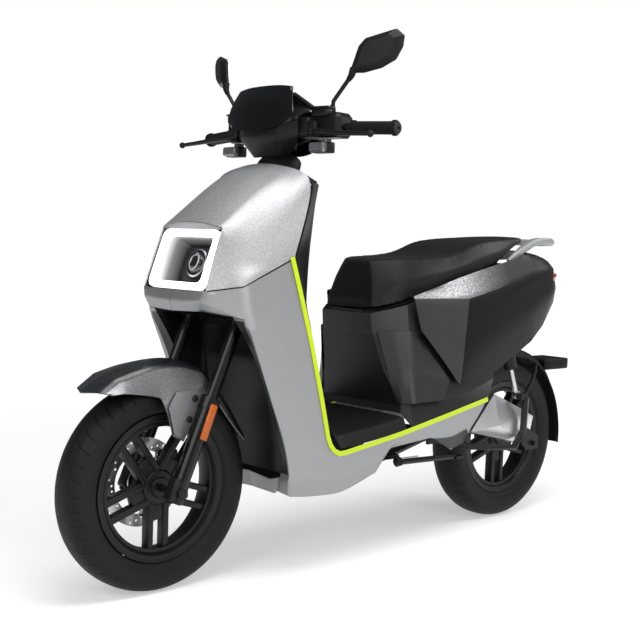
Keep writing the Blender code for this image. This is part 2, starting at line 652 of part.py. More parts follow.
def build_seat():
    cushion = [
        [(0.0600, 0, 0.6875), (0.0590, 0.093, 0.6885), (0.0450, 0.080, 0.745), (0.0270, 0.046, 0.817),
         (0.0250, 0, 0.820)],
        [(0.016, 0, 0.6945), (0.016, 0.122, 0.6975), (0.008, 0.120, 0.760), (-0.002, 0.082, 0.824),
         (-0.004, 0, 0.827)],
        [(-0.035, 0, 0.708), (-0.035, 0.143, 0.712), (-0.038, 0.145, 0.768), (-0.042, 0.112, 0.827),
         (-0.042, 0, 0.829)],
        [(-0.130, 0, 0.737), (-0.130, 0.151, 0.741), (-0.130, 0.154, 0.785), (-0.130, 0.125, 0.833),
         (-0.130, 0, 0.826)],
        [(-0.250, 0, 0.770), (-0.250, 0.151, 0.774), (-0.252, 0.154, 0.808), (-0.255, 0.130, 0.842),
         (-0.255, 0, 0.833)],
        [(-0.330, 0, 0.791), (-0.330, 0.149, 0.795), (-0.333, 0.151, 0.835), (-0.335, 0.128, 0.882),
         (-0.335, 0, 0.876)],
        [(-0.450, 0, 0.822), (-0.450, 0.143, 0.826), (-0.455, 0.143, 0.858), (-0.460, 0.122, 0.894),
         (-0.460, 0, 0.892)],
        [(-0.555, 0, 0.868), (-0.560, 0.100, 0.872), (-0.565, 0.102, 0.886), (-0.570, 0.092, 0.902),
         (-0.570, 0, 0.905)],
        [(-0.620, 0, 0.885), (-0.625, 0.085, 0.887), (-0.630, 0.086, 0.894), (-0.634, 0.078, 0.904),
         (-0.634, 0, 0.908)],
    ]
    lofted("seat_cushion", cushion, "seat_leather", mirrored=True)
    under = []
    for row, depth in zip(cushion[:7], (0.0065, 0.010, 0.014, 0.014, 0.014, 0.014, 0.014)):
        (x, _, z), (edge_x, edge_y, edge_z) = row[0], row[1]
        under.append([(x, 0, z - depth), (edge_x, edge_y - 0.012, edge_z - depth),
                      (edge_x, edge_y - 0.004, edge_z - SEAT_SEAM), (x, 0, z - SEAT_SEAM)])
    base = lofted("seat_base", under, mirrored=True)
    groove = across("groove", SEAT_HINGE, 0.2, 0.0037, sides=12)
    cut(base, groove, finish="black_plastic")


def build_headlight():
    down = Vector((0.056, 0, -0.154)).normalized()
    facing = Vector((0.154, 0, 0.056)).normalized()
    frame = Matrix((Vector((0, 1, 0)), -down, facing)).transposed().to_4x4()
    middle = Vector((0.632, 0, 0.815))

    def rounded(half_x, half_y, corner):
        points = []
        for turn, (sx, sy) in enumerate(((1, 1), (-1, 1), (-1, -1), (1, -1))):
            for step in range(4):
                a = turn * pi / 2 + step * pi / 6
                across = sx * (half_x - corner) + corner * cos(a)
                points.append((across, sy * (half_y - corner) + corner * sin(a)))
        return points

    def ring_at(half_x, half_y, corner, depth):
        place_at = Matrix.Translation(middle + facing * depth) @ frame
        return [tuple(place_at @ Vector((x, y, 0))) for x, y in rounded(half_x, half_y, corner)]

    ring_place = Matrix.Translation(middle - facing * 0.008) @ frame
    window = [rounded(0.0955, 0.0595, 0.014)]
    plate("headlight_ring", rounded(0.1125, 0.0765, 0.020), 0.014, ring_place, "light_ring", window)
    cup = lofted("headlight_housing", [
        ring_at(0.106, 0.071, 0.016, -0.0156), ring_at(0.070, 0.056, 0.014, -0.075),
    ])
    hollow = lofted("hollow", [
        ring_at(0.103, 0.067, 0.014, -0.010), ring_at(0.064, 0.050, 0.012, -0.070),
    ])
    cut(cup, hollow, finish="black_plastic")
    rod("headlight_lens", middle - facing * 0.0694, middle - facing * 0.030, 0.034, "clear_lens", 20)


def build_frame():
    head = rod("main_frame", on_column(0.735), on_column(0.915), 0.0265, sides=18)
    spine = [tuple(on_column(0.800)), (0.380, 0, 0.64), (0.362, 0, 0.50), (0.345, 0, 0.360),
             (0.340, 0, 0.300)]
    parts = [tube("spine", spine, 0.021, sides=1)]
    parts.append(rod("cross_front", (0.340, -0.098, 0.300), (0.340, 0.098, 0.300), 0.0160))
    for side in (1, -1):
        rail = [(0.340, 0.098, 0.300), (0.290, 0.100, 0.272), (0.000, 0.102, 0.272),
                (-0.200, 0.102, 0.318), (-0.290, 0.104, 0.440), (-0.456, 0.100, 0.680),
                (-0.640, 0.085, 0.790), (-0.725, 0.070, 0.800)]
        parts.append(tube("rail", [(x, side * y, z) for x, y, z in rail], 0.0135, sides=1))
        parts.append(rod("shock_lug", (SHOCK_UPPER.x, side * 0.098, SHOCK_UPPER.z),
                         (SHOCK_UPPER.x, side * (SHOCK_Y + 0.010), SHOCK_UPPER.z), 0.0060))
        ear = (SWING_PIVOT.x + 0.035, side * 0.110, SWING_PIVOT.z + 0.025)
        parts.append(block("pivot_plate", ear, (0.11, 0.008, 0.070)))
    parts.append(rod("cross_middle", (-0.150, -0.102, 0.3065), (-0.150, 0.102, 0.3065), 0.0120))
    parts.append(rod("cross_seat", (-0.370, -0.102, 0.556), (-0.370, 0.102, 0.556), 0.0100))
    parts.append(rod("cross_tail", (-0.700, -0.074, 0.797), (-0.700, 0.074, 0.797), 0.0100))
    stand = SIDE_STAND_PIVOT
    parts.append(block("stand_plate", (stand.x, 0.1155, stand.z + 0.010), (0.050, 0.022, 0.010)))
    frame = union(head, *parts)
    bore = rod("bore", on_column(0.70), on_column(0.95), 0.0178, sides=18)
    swing_bolt = across("bolt_hole", SWING_PIVOT, 0.15, 0.0065)
    cut(frame, bore, swing_bolt, finish="black_steel")


def build_swingarm():
    cross = across("swingarm", SWING_PIVOT, 0.1045, 0.0200)
    left = [(-0.278, 0.075, 0.297), (-0.306, 0.090, 0.288), (-0.324, 0.147, 0.276), (-0.545, 0.152, 0.251),
            (-0.584, 0.156, 0.300), (-0.588, 0.156, 0.405)]
    right = [(x, -y, z) for x, y, z in left]
    parts = [tube("left_arm", left, 0.0115, sides=1), tube("right_arm", right, 0.0115, sides=1)]
    for side in (1, -1):
        parts.append(hull("axle_plate", [
            (x, side * y, z) for y in (0.1500, 0.1600) for x, z in (
                (-0.660, 0.238), (-0.660, 0.280), (-0.580, 0.320), (-0.575, 0.262), (-0.600, 0.238))
        ]))
        parts.append(rod("shock_pin", (SHOCK_LOWER.x, side * (SHOCK_Y - 0.014), SHOCK_LOWER.z),
                         (SHOCK_LOWER.x, side * 0.156, SHOCK_LOWER.z), 0.0050))
        parts.append(block("shock_link", (-0.577, side * 0.157, 0.4095), (0.034, 0.008, 0.020)))
    axle_hole = across("axle_hole", REAR_AXLE, 0.2, 0.0084)
    pivot_hole = across("pivot_hole", SWING_PIVOT, 0.2, 0.0065)
    cut(union(cross, *parts), axle_hole, pivot_hole, finish="satin_black_paint")


def build_motor():
    outside = [(-0.465, 0.128, 0.422), (-0.350, 0.136, 0.316), (-0.555, 0.134, 0.2685),
               (-0.448, 0.166, 0.330), (-0.682, 0.120, 0.335), (-0.649, 0.126, 0.289),
               (-0.659, 0.120, 0.242), (-0.616, 0.124, 0.363)]
    inside = [(x, 0.0660, z) for x, _, z in outside]
    housing = hull("motor_housing", outside + inside)
    bore = across("bore", REAR_AXLE, 0.2, 0.0084)
    cut(housing, bore, finish="cast_aluminium")


def build_rear_hugger():
    rows = []
    for degrees in (78, 98, 118, 138, 158, 178, 188):
        a = radians(degrees)
        section = ((0.300, 0), (0.297, 0.045), (0.272, 0.070))
        rows.append([(REAR_AXLE_X + r * cos(a), y, AXLE_Z + r * sin(a)) for r, y in section])
    shell = surface("rear_hugger", [rows], SHELL, mirrored=True)
    holder = block("holder", (-0.8925, 0, 0.487), (0.135, 0.110, 0.036), bevel=0.004)
    parts = [holder]
    for side in (1, -1):
        strut = [(-0.604, 0.127, 0.398), (-0.640, 0.124, 0.417), (-0.740, 0.078, 0.468),
                 (-0.771, 0.057, 0.506)]
        parts.append(tube("strut", [(x, side * y, z) for x, y, z in strut], 0.0065))
    union(shell, *parts, finish="black_plastic")


def build_shocks():
    along = (SHOCK_UPPER - SHOCK_LOWER).normalized()
    for side, sign in SIDES:
        move = Vector((0, sign * SHOCK_Y, 0))
        top = SHOCK_UPPER + move
        low = SHOCK_LOWER + move
        sleeve = rod(f"shock_upper_{side}", top - along * 0.185, top - along * 0.012, 0.0215)
        eye = across("eye", top, 0.010, 0.0150)
        eye_hole = across("eye_hole", top, 0.05, 0.0066)
        bore = rod("bore", top - along * 0.25, top - along * 0.040, 0.0085)
        cut(union(sleeve, eye), eye_hole, bore, finish="satin_black_paint")
        shaft = rod(f"shock_lower_{side}", low + along * 0.008, low + along * 0.165, 0.0075)
        foot = across("foot", low, 0.008, 0.0130)
        foot_hole = across("foot_hole", low, 0.05, 0.0062)
        cut(union(shaft, foot), foot_hole, finish="steel")


def build_handlebar():
    half = [(0.277, 0.353, 1.1453), (0.300, 0.215, 1.150), (0.312, 0.105, 1.135), (0.309, 0.040, 1.120)]
    path = half + flip_side(reversed(half))
    bar = tube("handlebar", path, 0.0110)
    clamp = block("clamp", (0.3065, 0, 1.1135), (0.044, 0.050, 0.026), bevel=0.004)
    union(bar, clamp, finish="black_steel")
    bend = Vector(half[1])
    along = (Vector(half[0]) - bend).normalized()
    for side, sign in SIDES:
        name = "grip_left" if sign > 0 else "throttle_grip"
        start = bend + along * 0.022
        end = bend + along * 0.149
        tip = end - along * 0.006
        hole_end = bend + along * 0.1405
        before = start - along * 0.05

        def sided(point):
            return Vector((point.x, sign * point.y, point.z))

        grip = rod(name, sided(start), sided(end), 0.0163)
        flange = rod("flange", sided(tip), sided(end + along * 0.0005), 0.0195)
        ring = rod("ring", sided(start - along * 0.0005), sided(start + along * 0.006), 0.0190)
        hole = rod("hole", sided(before), sided(hole_end), 0.0114)
        cut(union(grip, flange, ring), hole, finish="grip_rubber")
        yaw = Matrix.Rotation(sign * radians(8), 3, "Z")
        case_middle = (0.3050, sign * 0.170, 1.1560)
        case = block(f"switch_housing_{side}", case_middle, (0.068, 0.094, 0.062), bevel=0.012, turn=yaw)
        lug = block("lug", (0.3470, sign * 0.150, 1.1270), (0.032, 0.026, 0.006))
        bore = tube("bore", [(x, sign * y, z) for x, y, z in half], 0.0114)
        tools = [bore]
        if sign > 0:
            tools.append(rod("button_hole", (0.262, 0.172, 1.150), (0.280, 0.172, 1.150), 0.0072))
        cut(union(case, lug), *tools, finish="black_plastic")
        stalk = block("stalk", (0.3250, sign * 0.172, 1.1165), (0.020, 0.018, 0.0125))
        lamp_middle = (0.3420, sign * 0.172, 1.0995)
        lamp = block(f"turn_signal_{side}", lamp_middle, (0.040, 0.054, 0.024), bevel=0.004)
        union(lamp, stalk, finish="clear_lens")
        lever_path = [(0.355, 0.150, 1.1385), (0.365, 0.200, 1.1340), (0.367, 0.285, 1.1270),
                      (0.370, 0.366, 1.1225)]
        lever = tube(f"brake_lever_{side}", [(x, sign * y, z) for x, y, z in lever_path], 0.0055)
        knob = ball("knob", (0.370, sign * 0.369, 1.1222), 0.0085)
        boss = rod("boss", (0.355, sign * 0.150, 1.1308), (0.355, sign * 0.150, 1.1445), 0.0095)
        union(lever, knob, boss, finish="black_steel")
        stem_path = [(0.320, 0.185, 1.1895), (0.322, 0.190, 1.214), (0.319, 0.232, 1.258),
                     (0.3175, 0.245, 1.271)]
        tube(f"mirror_stem_{side}", [(x, sign * y, z) for x, y, z in stem_path], 0.0055, "black_steel")
        outline = [(-0.007, 1.2790), (-0.003, 1.296), (0.013, 1.342), (0.031, 1.361), (0.112, 1.380),
                   (0.133, 1.363), (0.130, 1.337), (0.113, 1.307), (0.076, 1.2885), (0.030, 1.2785)]
        yaw_out = radians(20 if sign > 0 else 27)
        outward = Vector((-sin(yaw_out), sign * cos(yaw_out), 0))
        ahead = Vector((cos(yaw_out), sign * sin(yaw_out), 0))
        stem_top = Vector((0.3120, sign * 0.245, 0))
        points = []
        for reach, z in outline:
            rim = stem_top + outward * reach + Vector((0, 0, z))
            inset = stem_top + outward * (reach * 0.70 + 0.018) + Vector((0, 0, z * 0.70 + 1.330 * 0.30))
            points.append(rim - ahead * 0.004)
            points.append(rim + ahead * 0.004)
            points.append(inset + ahead * 0.016)
        hull(f"mirror_head_{side}", points, "black_plastic")
    rod("horn_button", (0.2645, 0.172, 1.150), (0.2740, 0.172, 1.150), 0.0062, "dark_grey_plastic", 12)


def build_cockpit():
    rows = [
        [(0.379, 0, 1.078), (0.372, 0.050, 1.078), (0.345, 0.085, 1.095)],
        [(0.408, 0, 1.120), (0.400, 0.070, 1.120), (0.365, 0.112, 1.135)],
        [(0.408, 0, 1.165), (0.402, 0.080, 1.165), (0.370, 0.113, 1.175)],
        [(0.345, 0, 1.205), (0.342, 0.080, 1.205), (0.335, 0.112, 1.195)],
        [(0.275, 0, 1.190), (0.275, 0.080, 1.190), (0.285, 0.112, 1.185)],
        [(0.262, 0, 1.120), (0.265, 0.070, 1.120), (0.275, 0.110, 1.130)],
        [(0.282, 0, 1.085), (0.284, 0.050, 1.085), (0.287, 0.080, 1.092)],
    ]
    surface("handlebar_cover", [rows], SHELL, "black_plastic", mirrored=True)
    screen = [
        [(0.425, 0, 1.140), (0.419, 0.070, 1.144), (0.401, 0.124, 1.162)],
        [(0.422, 0, 1.178), (0.416, 0.072, 1.180), (0.400, 0.127, 1.186)],
        [(0.416, 0, 1.215), (0.411, 0.070, 1.215), (0.396, 0.118, 1.215)],
        [(0.392, 0, 1.256), (0.389, 0.060, 1.256), (0.382, 0.103, 1.250)],
    ]
    surface("visor", [screen], 0.004, "satin_black_paint", mirrored=True)
    tilt = Matrix.Rotation(radians(-22), 3, "Y")
    block("instrument_display", (0.312, 0, 1.2220), (0.080, 0.150, 0.014), "dark_grey_plastic", 0.004, tilt)


def build_insides():
    low = Vector((-0.270, -0.085, 0.500))
    high = Vector((0.005, 0.085, 0.655))
    middle = (low + high) / 2
    size = high - low
    bucket = block("storage_bucket", middle, size, bevel=0.010)
    wall = Vector((0.008, 0.008, -0.032))
    hollow = block("hollow", middle + Vector((0, 0, 0.02)), size - wall, bevel=0.008)
    cut(bucket, hollow, finish="dark_grey_plastic")
    block("battery_pack", (0.165, 0, 0.300), (0.240, 0.160, 0.105), "battery_case", 0.008)
    block("motor_controller", (-0.115, 0, 0.395), (0.200, 0.160, 0.060), "cast_aluminium", 0.006)
    barrel = rod("ignition_key", (0.2900, -0.062, 0.905), (0.3120, -0.062, 0.905), 0.0080, sides=14)
    handle = block("handle", (0.2830, -0.062, 0.905), (0.018, 0.006, 0.026))
    union(barrel, handle, finish="steel")


def build_side_stand():
    pivot = SIDE_STAND_PIVOT
    path = [tuple(pivot + Vector((-0.006, 0.002, -0.001))), (-0.150, 0.140, 0.255), (-0.285, 0.131, 0.2480)]
    leg = tube("side_stand", path, 0.0085)
    foot = block("foot", (-0.293, 0.131, 0.2455), (0.034, 0.030, 0.008))
    eye = rod("eye", pivot - SIDE_STAND_AXIS * 0.008, pivot + SIDE_STAND_AXIS * 0.008, 0.0130)
    union(leg, foot, eye, finish="black_steel")


# Each moving body's joint point, and its parts
LEVER_PIVOT = Vector((0.355, 0.150, 1.1385))
MIRROR_PIVOT = Vector((0.3175, 0.245, 1.276))
THROTTLE_START = Vector((0.300, -0.215, 1.150))
HORN_START = Vector((0.2645, 0.172, 1.150))
KEY_START = Vector((0.3000, -0.062, 0.905))
JOINT_POINTS = {
    "steering_axis": (on_column(0.800), (
        "fork_yoke", "handlebar", "handlebar_cover", "visor", "instrument_display", "grip_left",
        "switch_housing_left", "switch_housing_right", "turn_signal_left", "turn_signal_right",
        "mirror_stem_left", "mirror_stem_right")),
    "fork_axis": (on_fork(0.236), (
        "fork_leg_left", "fork_leg_right", "front_fender", "front_axle", "front_caliper")),
    "front_wheel_axis": (FRONT_AXLE, ("front_rim", "front_tyre", "front_brake_disc")),
    "swingarm_axis": (SWING_PIVOT, ("swingarm", "motor_housing", "rear_hugger", "rear_axle")),
    "rear_wheel_axis": (REAR_AXLE, ("rear_rim", "rear_tyre")),
    "seat_axis": (SEAT_HINGE, ("seat_base", "seat_cushion")),
    "stand_axis": (SIDE_STAND_PIVOT, ("side_stand",)),
    "throttle_axis": (THROTTLE_START, ("throttle_grip",)),
    "horn_axis": (HORN_START, ("horn_button",)),
    "key_axis": (KEY_START, ("ignition_key",)),
}
SIDED_JOINT_POINTS = {
    "lever_axis": (LEVER_PIVOT, "brake_lever"),
    "mirror_axis": (MIRROR_PIVOT, "mirror_head"),
    "shock_axis": (SHOCK_UPPER + Vector((0, SHOCK_Y, 0)), "shock_upper"),
    "shock_eye_axis": (SHOCK_LOWER + Vector((0, SHOCK_Y, 0)), "shock_lower"),
}


def add_joint(name, spot, members):
    """An empty on a joint's axis, as the parent of the parts that move on it."""
    empty = bpy.data.objects.new(name, None)
    empty.empty_display_size = 0.03
    PARTS.objects.link(empty)
    empty.location = spot
    for member in members:
        part = bpy.data.objects[member]
        part.parent = empty
        part.matrix_parent_inverse = Matrix.Translation(-Vector(spot))


def add_joints():
    for name, (spot, members) in JOINT_POINTS.items():
        add_joint(name, spot, members)
    for name, (spot, member) in SIDED_JOINT_POINTS.items():
        for side, sign in SIDES:
            add_joint(f"{name}_{side}", (spot.x, sign * spot.y, spot.z), (f"{member}_{side}",))


def build_scooter():
    build_wheels()
    build_fork()
    build_front_fender()
    build_front_cowl()
    build_fairings()
    build_splash_guard()
    build_inner_leg_shield()
    build_floorboard()
    build_seat_box()
    build_side_panels()
    build_tail()
    build_grab_rail()
    build_seat()
    build_headlight()
    build_frame()
    build_swingarm()
    build_motor()
    build_rear_hugger()
    build_shocks()
    build_handlebar()
    build_cockpit()
    build_insides()
    build_side_stand()


build_scooter()
for item in list(HELPERS.objects):
    bpy.data.objects.remove(item)
add_joints()
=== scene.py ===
import math

import bmesh
import bpy
from mathutils import Matrix, Vector


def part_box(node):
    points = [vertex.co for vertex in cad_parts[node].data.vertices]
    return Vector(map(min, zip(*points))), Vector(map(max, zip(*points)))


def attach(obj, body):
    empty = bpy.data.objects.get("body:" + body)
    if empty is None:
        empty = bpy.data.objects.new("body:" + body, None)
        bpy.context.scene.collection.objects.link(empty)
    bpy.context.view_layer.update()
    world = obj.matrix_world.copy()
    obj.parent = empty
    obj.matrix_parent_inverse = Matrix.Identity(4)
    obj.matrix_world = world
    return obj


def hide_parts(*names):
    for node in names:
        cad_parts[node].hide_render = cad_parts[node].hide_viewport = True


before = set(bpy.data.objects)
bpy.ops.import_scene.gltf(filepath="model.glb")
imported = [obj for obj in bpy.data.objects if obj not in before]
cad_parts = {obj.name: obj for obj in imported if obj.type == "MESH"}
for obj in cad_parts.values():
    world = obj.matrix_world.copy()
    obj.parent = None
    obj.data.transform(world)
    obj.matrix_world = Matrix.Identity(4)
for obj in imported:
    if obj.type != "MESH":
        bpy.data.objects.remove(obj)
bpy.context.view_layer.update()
print("frame loaded:", len(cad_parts), "nodes")

sides = (("Left", "left", 1), ("Right", "right", -1))
frontLow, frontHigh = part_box("front_tyre")
rearLow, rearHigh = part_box("rear_tyre")
frontAxle = (frontLow + frontHigh) / 2
rearAxle = (rearLow + rearHigh) / 2
wheelRadius = (frontHigh.x - frontLow.x) / 2
rake = math.radians(23)
forkUp = Vector((-math.sin(rake), 0, math.cos(rake)))
neck = Vector((0.3236, 0, 1.060))  # middle of the steering collar


class Wire:
    # a socket that adds Math nodes when it is used in an expression
    def __init__(self, graph, socket):
        self.graph = graph
        self.socket = socket

    def __add__(self, other):
        return self.graph.maths("ADD", self, other)

    def __radd__(self, other):
        return self.graph.maths("ADD", other, self)

    def __sub__(self, other):
        return self.graph.maths("SUBTRACT", self, other)

    def __rsub__(self, other):
        return self.graph.maths("SUBTRACT", other, self)

    def __mul__(self, other):
        return self.graph.maths("MULTIPLY", self, other)

    def __rmul__(self, other):
        return self.graph.maths("MULTIPLY", other, self)


class Graph:
    # a new material and its shader, with one way to add any node
    def __init__(self, name):
        self.material = bpy.data.materials.new(name)
        self.material.use_nodes = True
        self.tree = self.material.node_tree
        self.shader = self.tree.nodes["Principled BSDF"]
        place = self.tree.nodes.new("ShaderNodeTexCoord")
        self.place = Wire(self, place.outputs["Object"])

    def node(self, kind, settings, inputs, output=0):
        made = self.tree.nodes.new(kind)
        for name, value in settings.items():
            if name == "stops":
                self.setStops(made.color_ramp, value)
            else:
                setattr(made, name, value)
        for name, value in inputs.items():
            self.feed(made.inputs[name], value)
        return Wire(self, made.outputs[output])

    def setStops(self, ramp, stops):
        while len(ramp.elements) < len(stops):
            ramp.elements.new(0.5)
        for element, (spot, shade) in zip(ramp.elements, stops):
            element.position = spot
            element.color = (shade, shade, shade, 1)

    def feed(self, socket, value):
        if isinstance(value, Wire):
            self.tree.links.new(value.socket, socket)
        else:
            socket.default_value = value

    def set(self, **values):
        for name, value in values.items():
            self.feed(self.shader.inputs[name.replace("_", " ")], value)

    def noise(self, scale, detail=3.0):
        return self.node("ShaderNodeTexNoise", {}, {"Vector": self.place, "Scale": scale, "Detail": detail})

    def cells(self, scale, output="Distance"):
        return self.node("ShaderNodeTexVoronoi", {}, {"Vector": self.place, "Scale": scale}, output)

    def flakes(self, scale, first=0.55, last=0.95):
        # small bright specks: 1 inside a speck and 0 between them
        return self.ramp(self.cells(scale, "Color"), [(first, 0.0), (last, 1.0)])

    def ramp(self, value, stops):
        return self.node("ShaderNodeValToRGB", {"stops": stops}, {"Fac": value})

    def blend(self, factor, first, second):
        inputs = {0: factor, 6: first, 7: second}
        return self.node("ShaderNodeMix", {"data_type": "RGBA"}, inputs, 2)

    def bump(self, height, strength, distance):
        inputs = {"Height": height, "Strength": strength, "Distance": distance}
        return self.node("ShaderNodeBump", {}, inputs)

    def maths(self, operation, first, second=0.0):
        return self.node("ShaderNodeMath", {"operation": operation}, {0: first, 1: second})

    def along(self, axis):
        return self.node("ShaderNodeSeparateXYZ", {}, {"Vector": self.place}, axis)

    def reach(self, direction, centre):
        # how far a point lies from centre along direction
        offset = self.node("ShaderNodeVectorMath", {"operation": "SUBTRACT"}, {0: self.place, 1: centre})
        inputs = {0: offset, 1: direction}
        return self.node("ShaderNodeVectorMath", {"operation": "DOT_PRODUCT"}, inputs, "Value")

    def past(self, value, width):
        # 0 below zero and 1 above it, with a short change between
        return self.ramp(value * (1 / width) + 0.5, [(0.0, 0.0), (1.0, 1.0)])


def tint(colour, factor):
    return tuple(min(1.0, part * factor) for part in colour) + (1,)


def coated(name, look):
    # paint and moulded plastic: mottled colour, flake, grain and a clear coat
    graph = Graph(name)
    patch = graph.noise(9.0, 4.0)
    spread = look.get("spread", 0.12)
    colour = graph.blend(patch, tint(look["colour"], 1 - spread), tint(look["colour"], 1 + spread))
    if "flake" in look:
        glint = graph.flakes(look.get("flakeScale", 900.0))
        colour = graph.blend(glint * look["flake"], colour, tint(look["colour"], 1.9))
    graph.set(Base_Color=colour, Roughness=look["rough"] + (patch - 0.5) * 0.12)
    if "grain" in look:
        grain = graph.noise(look.get("grainScale", 700.0), 2.0)
        graph.set(Normal=graph.bump(grain, look["grain"], 0.0004))
    graph.set(Metallic=look.get("metal", 0.0), Specular_IOR_Level=look.get("shine", 0.5))
    graph.set(Coat_Weight=look.get("coat", 0.0), Coat_Roughness=look.get("coatRough", 0.06))
    return graph.material


coatLook = {
    "silverGloss": {"colour": (0.37, 0.372, 0.378), "rough": 0.50, "metal": 0.6, "coat": 0.12,
                    "coatRough": 0.25, "flake": 0.7, "flakeScale": 700.0, "spread": 0.05, "grain": 0.12,
                    "grainScale": 600.0},
    "glossBlack": {"colour": (0.006, 0.0062, 0.007), "rough": 0.26, "coat": 0.18, "coatRough": 0.15,
                   "spread": 0.15, "shine": 0.2},
    "satinBlack": {"colour": (0.009, 0.009, 0.0095), "rough": 0.38, "grain": 0.12, "spread": 0.2,
                   "shine": 0.2},
    "mattBlack": {"colour": (0.009, 0.009, 0.0095), "rough": 0.58, "grain": 0.25, "grainScale": 500.0,
                  "spread": 0.2, "shine": 0.14},
    "panelGrey": {"colour": (0.036, 0.0365, 0.038), "rough": 0.40, "metal": 0.2, "coat": 0.04,
                  "flake": 0.15, "shine": 0.3},
    "castBlack": {"colour": (0.011, 0.011, 0.0115), "rough": 0.40, "metal": 0.15, "grain": 0.2,
                  "grainScale": 350.0, "shine": 0.28},
    "steelGrey": {"colour": (0.52, 0.52, 0.53), "rough": 0.30, "metal": 1.0, "grain": 0.06,
                  "grainScale": 900.0},
    "castSilver": {"colour": (0.72, 0.72, 0.73), "rough": 0.34, "metal": 0.9, "grain": 0.25,
                   "grainScale": 260.0, "flake": 0.2},
    "railSilver": {"colour": (0.40, 0.405, 0.41), "rough": 0.46, "metal": 0.6, "coat": 0.1, "flake": 0.4,
                   "spread": 0.06, "grain": 0.15},
    "plateGrey": {"colour": (0.19, 0.19, 0.195), "rough": 0.46, "metal": 0.5, "flake": 0.5, "spread": 0.08},
    "gripRubber": {"colour": (0.008, 0.008, 0.008), "rough": 0.66, "grain": 0.3, "shine": 0.16},
}


archLook = {"side": 0.190, "top": 0.672, "foot": 0.285}


def silverSatin():
    # satin silver, with painted shade in black on the narrow face round the wheel arch
    graph = Graph("silverSatin")
    z = graph.along(2)
    inside = graph.past(archLook["side"] - graph.maths("ABSOLUTE", graph.along(1)), 0.0015)
    # painted shade: the narrow face round the wheel arch is made black instead of silver
    archShade = inside * graph.past(archLook["top"] - z, 0.002) * graph.past(z - archLook["foot"], 0.002)
    patch = graph.noise(9.0, 4.0)
    glint = graph.flakes(900.0)
    silver = graph.blend(patch, (0.335, 0.34, 0.345, 1), (0.365, 0.37, 0.375, 1))
    silver = graph.blend(glint * 0.25, silver, (0.6, 0.6, 0.61, 1))
    graph.set(Base_Color=graph.blend(archShade, silver, (0.009, 0.009, 0.0095, 1)))
    graph.set(Roughness=0.44 + (patch - 0.5) * 0.1, Metallic=0.72 - archShade * 0.72)
    graph.set(Coat_Weight=0.1, Coat_Roughness=0.3)
    return graph.material


fenderLook = {"flankFrom": 0.0585}


def fenderPaint():
    # black flake paint, with a painted reflection that turns the side facets to satin grey
    graph = Graph("fenderPaint")
    side = graph.past(graph.maths("ABSOLUTE", graph.along(1)) - fenderLook["flankFrom"], 0.002)
    glint = graph.flakes(800.0)
    top = graph.blend(glint, (0.010, 0.0105, 0.012, 1), (0.10, 0.105, 0.12, 1))
    # painted reflection: the grey on the side facets stands for light they reflect
    flankReflection = graph.blend(glint, (0.20, 0.20, 0.205, 1), (0.44, 0.44, 0.45, 1))
    graph.set(Base_Color=graph.blend(side, top, flankReflection))
    graph.set(Roughness=0.30 + side * 0.12, Metallic=0.35 + side * 0.3)
    graph.set(Coat_Weight=0.4, Coat_Roughness=0.15)
    return graph.material


wingLook = {"lean": 0.195, "offset": 0.1056, "riseFrom": -0.25, "ridge": 0.721, "climb": 0.21,
            "highlightTo": -0.60}


def tailPaint():
    # plain black, with a grey facet ahead of the wing edge and a painted highlight in flaked silver on the
    # front of the top facet
    graph = Graph("tailPaint")
    x = graph.along(0)
    z = graph.along(2)
    ahead = graph.past(x + z * wingLook["lean"] + wingLook["offset"], 0.0015)
    rise = graph.maths("MAXIMUM", wingLook["riseFrom"] - x, 0.0)
    above = graph.past(z - wingLook["ridge"] - rise * wingLook["climb"], 0.002)
    # painted highlight: flaked silver on the front of the top facet, fading out towards the rear
    highlightFade = graph.ramp((x - wingLook["highlightTo"]) * 2.0, [(0.30, 0.0), (0.50, 0.3), (0.76, 1.0)])
    topHighlight = above * highlightFade
    glint = graph.flakes(650.0, 0.45, 0.9)
    black = graph.blend(glint, (0.0075, 0.0075, 0.008, 1), (0.012, 0.012, 0.013, 1))
    grey = graph.blend(graph.noise(9.0), (0.050, 0.050, 0.052, 1), (0.070, 0.070, 0.073, 1))
    silver = graph.blend(glint, (0.16, 0.16, 0.165, 1), (0.75, 0.75, 0.77, 1))
    colour = graph.blend(topHighlight, graph.blend(ahead * (1 - above), black, grey), silver)
    graph.set(Base_Color=colour, Roughness=0.42 - topHighlight * 0.05, Metallic=topHighlight * 0.7)
    graph.set(Specular_IOR_Level=0.12)
    return graph.material


boxLook = {"bandFrom": 0.6195}


def boxGrey():
    # the band under the seat is lighter than the box below it
    graph = Graph("boxGrey")
    band = graph.past(graph.along(2) - boxLook["bandFrom"], 0.002)
    patch = graph.noise(9.0, 4.0)
    lower = graph.blend(patch, (0.014, 0.014, 0.0145, 1), (0.019, 0.019, 0.020, 1))
    upper = graph.blend(patch, (0.034, 0.034, 0.036, 1), (0.042, 0.042, 0.044, 1))
    graph.set(Base_Color=graph.blend(band, lower, upper), Roughness=0.36 + patch * 0.08)
    graph.set(Normal=graph.bump(graph.noise(650.0, 2.0), 0.1, 0.0004))
    graph.set(Specular_IOR_Level=0.28)
    return graph.material


treadLook = {"sipes": 44, "slant": 26.0, "sweep": 180.0, "bareHalf": 0.007, "sipesFrom": 0.2335,
             "weave": 0.004, "channelOff": 0.001, "channelHalf": 0.0016, "channelFrom": 0.25,
             "ring": 0.2080, "ringHalf": 0.0012}


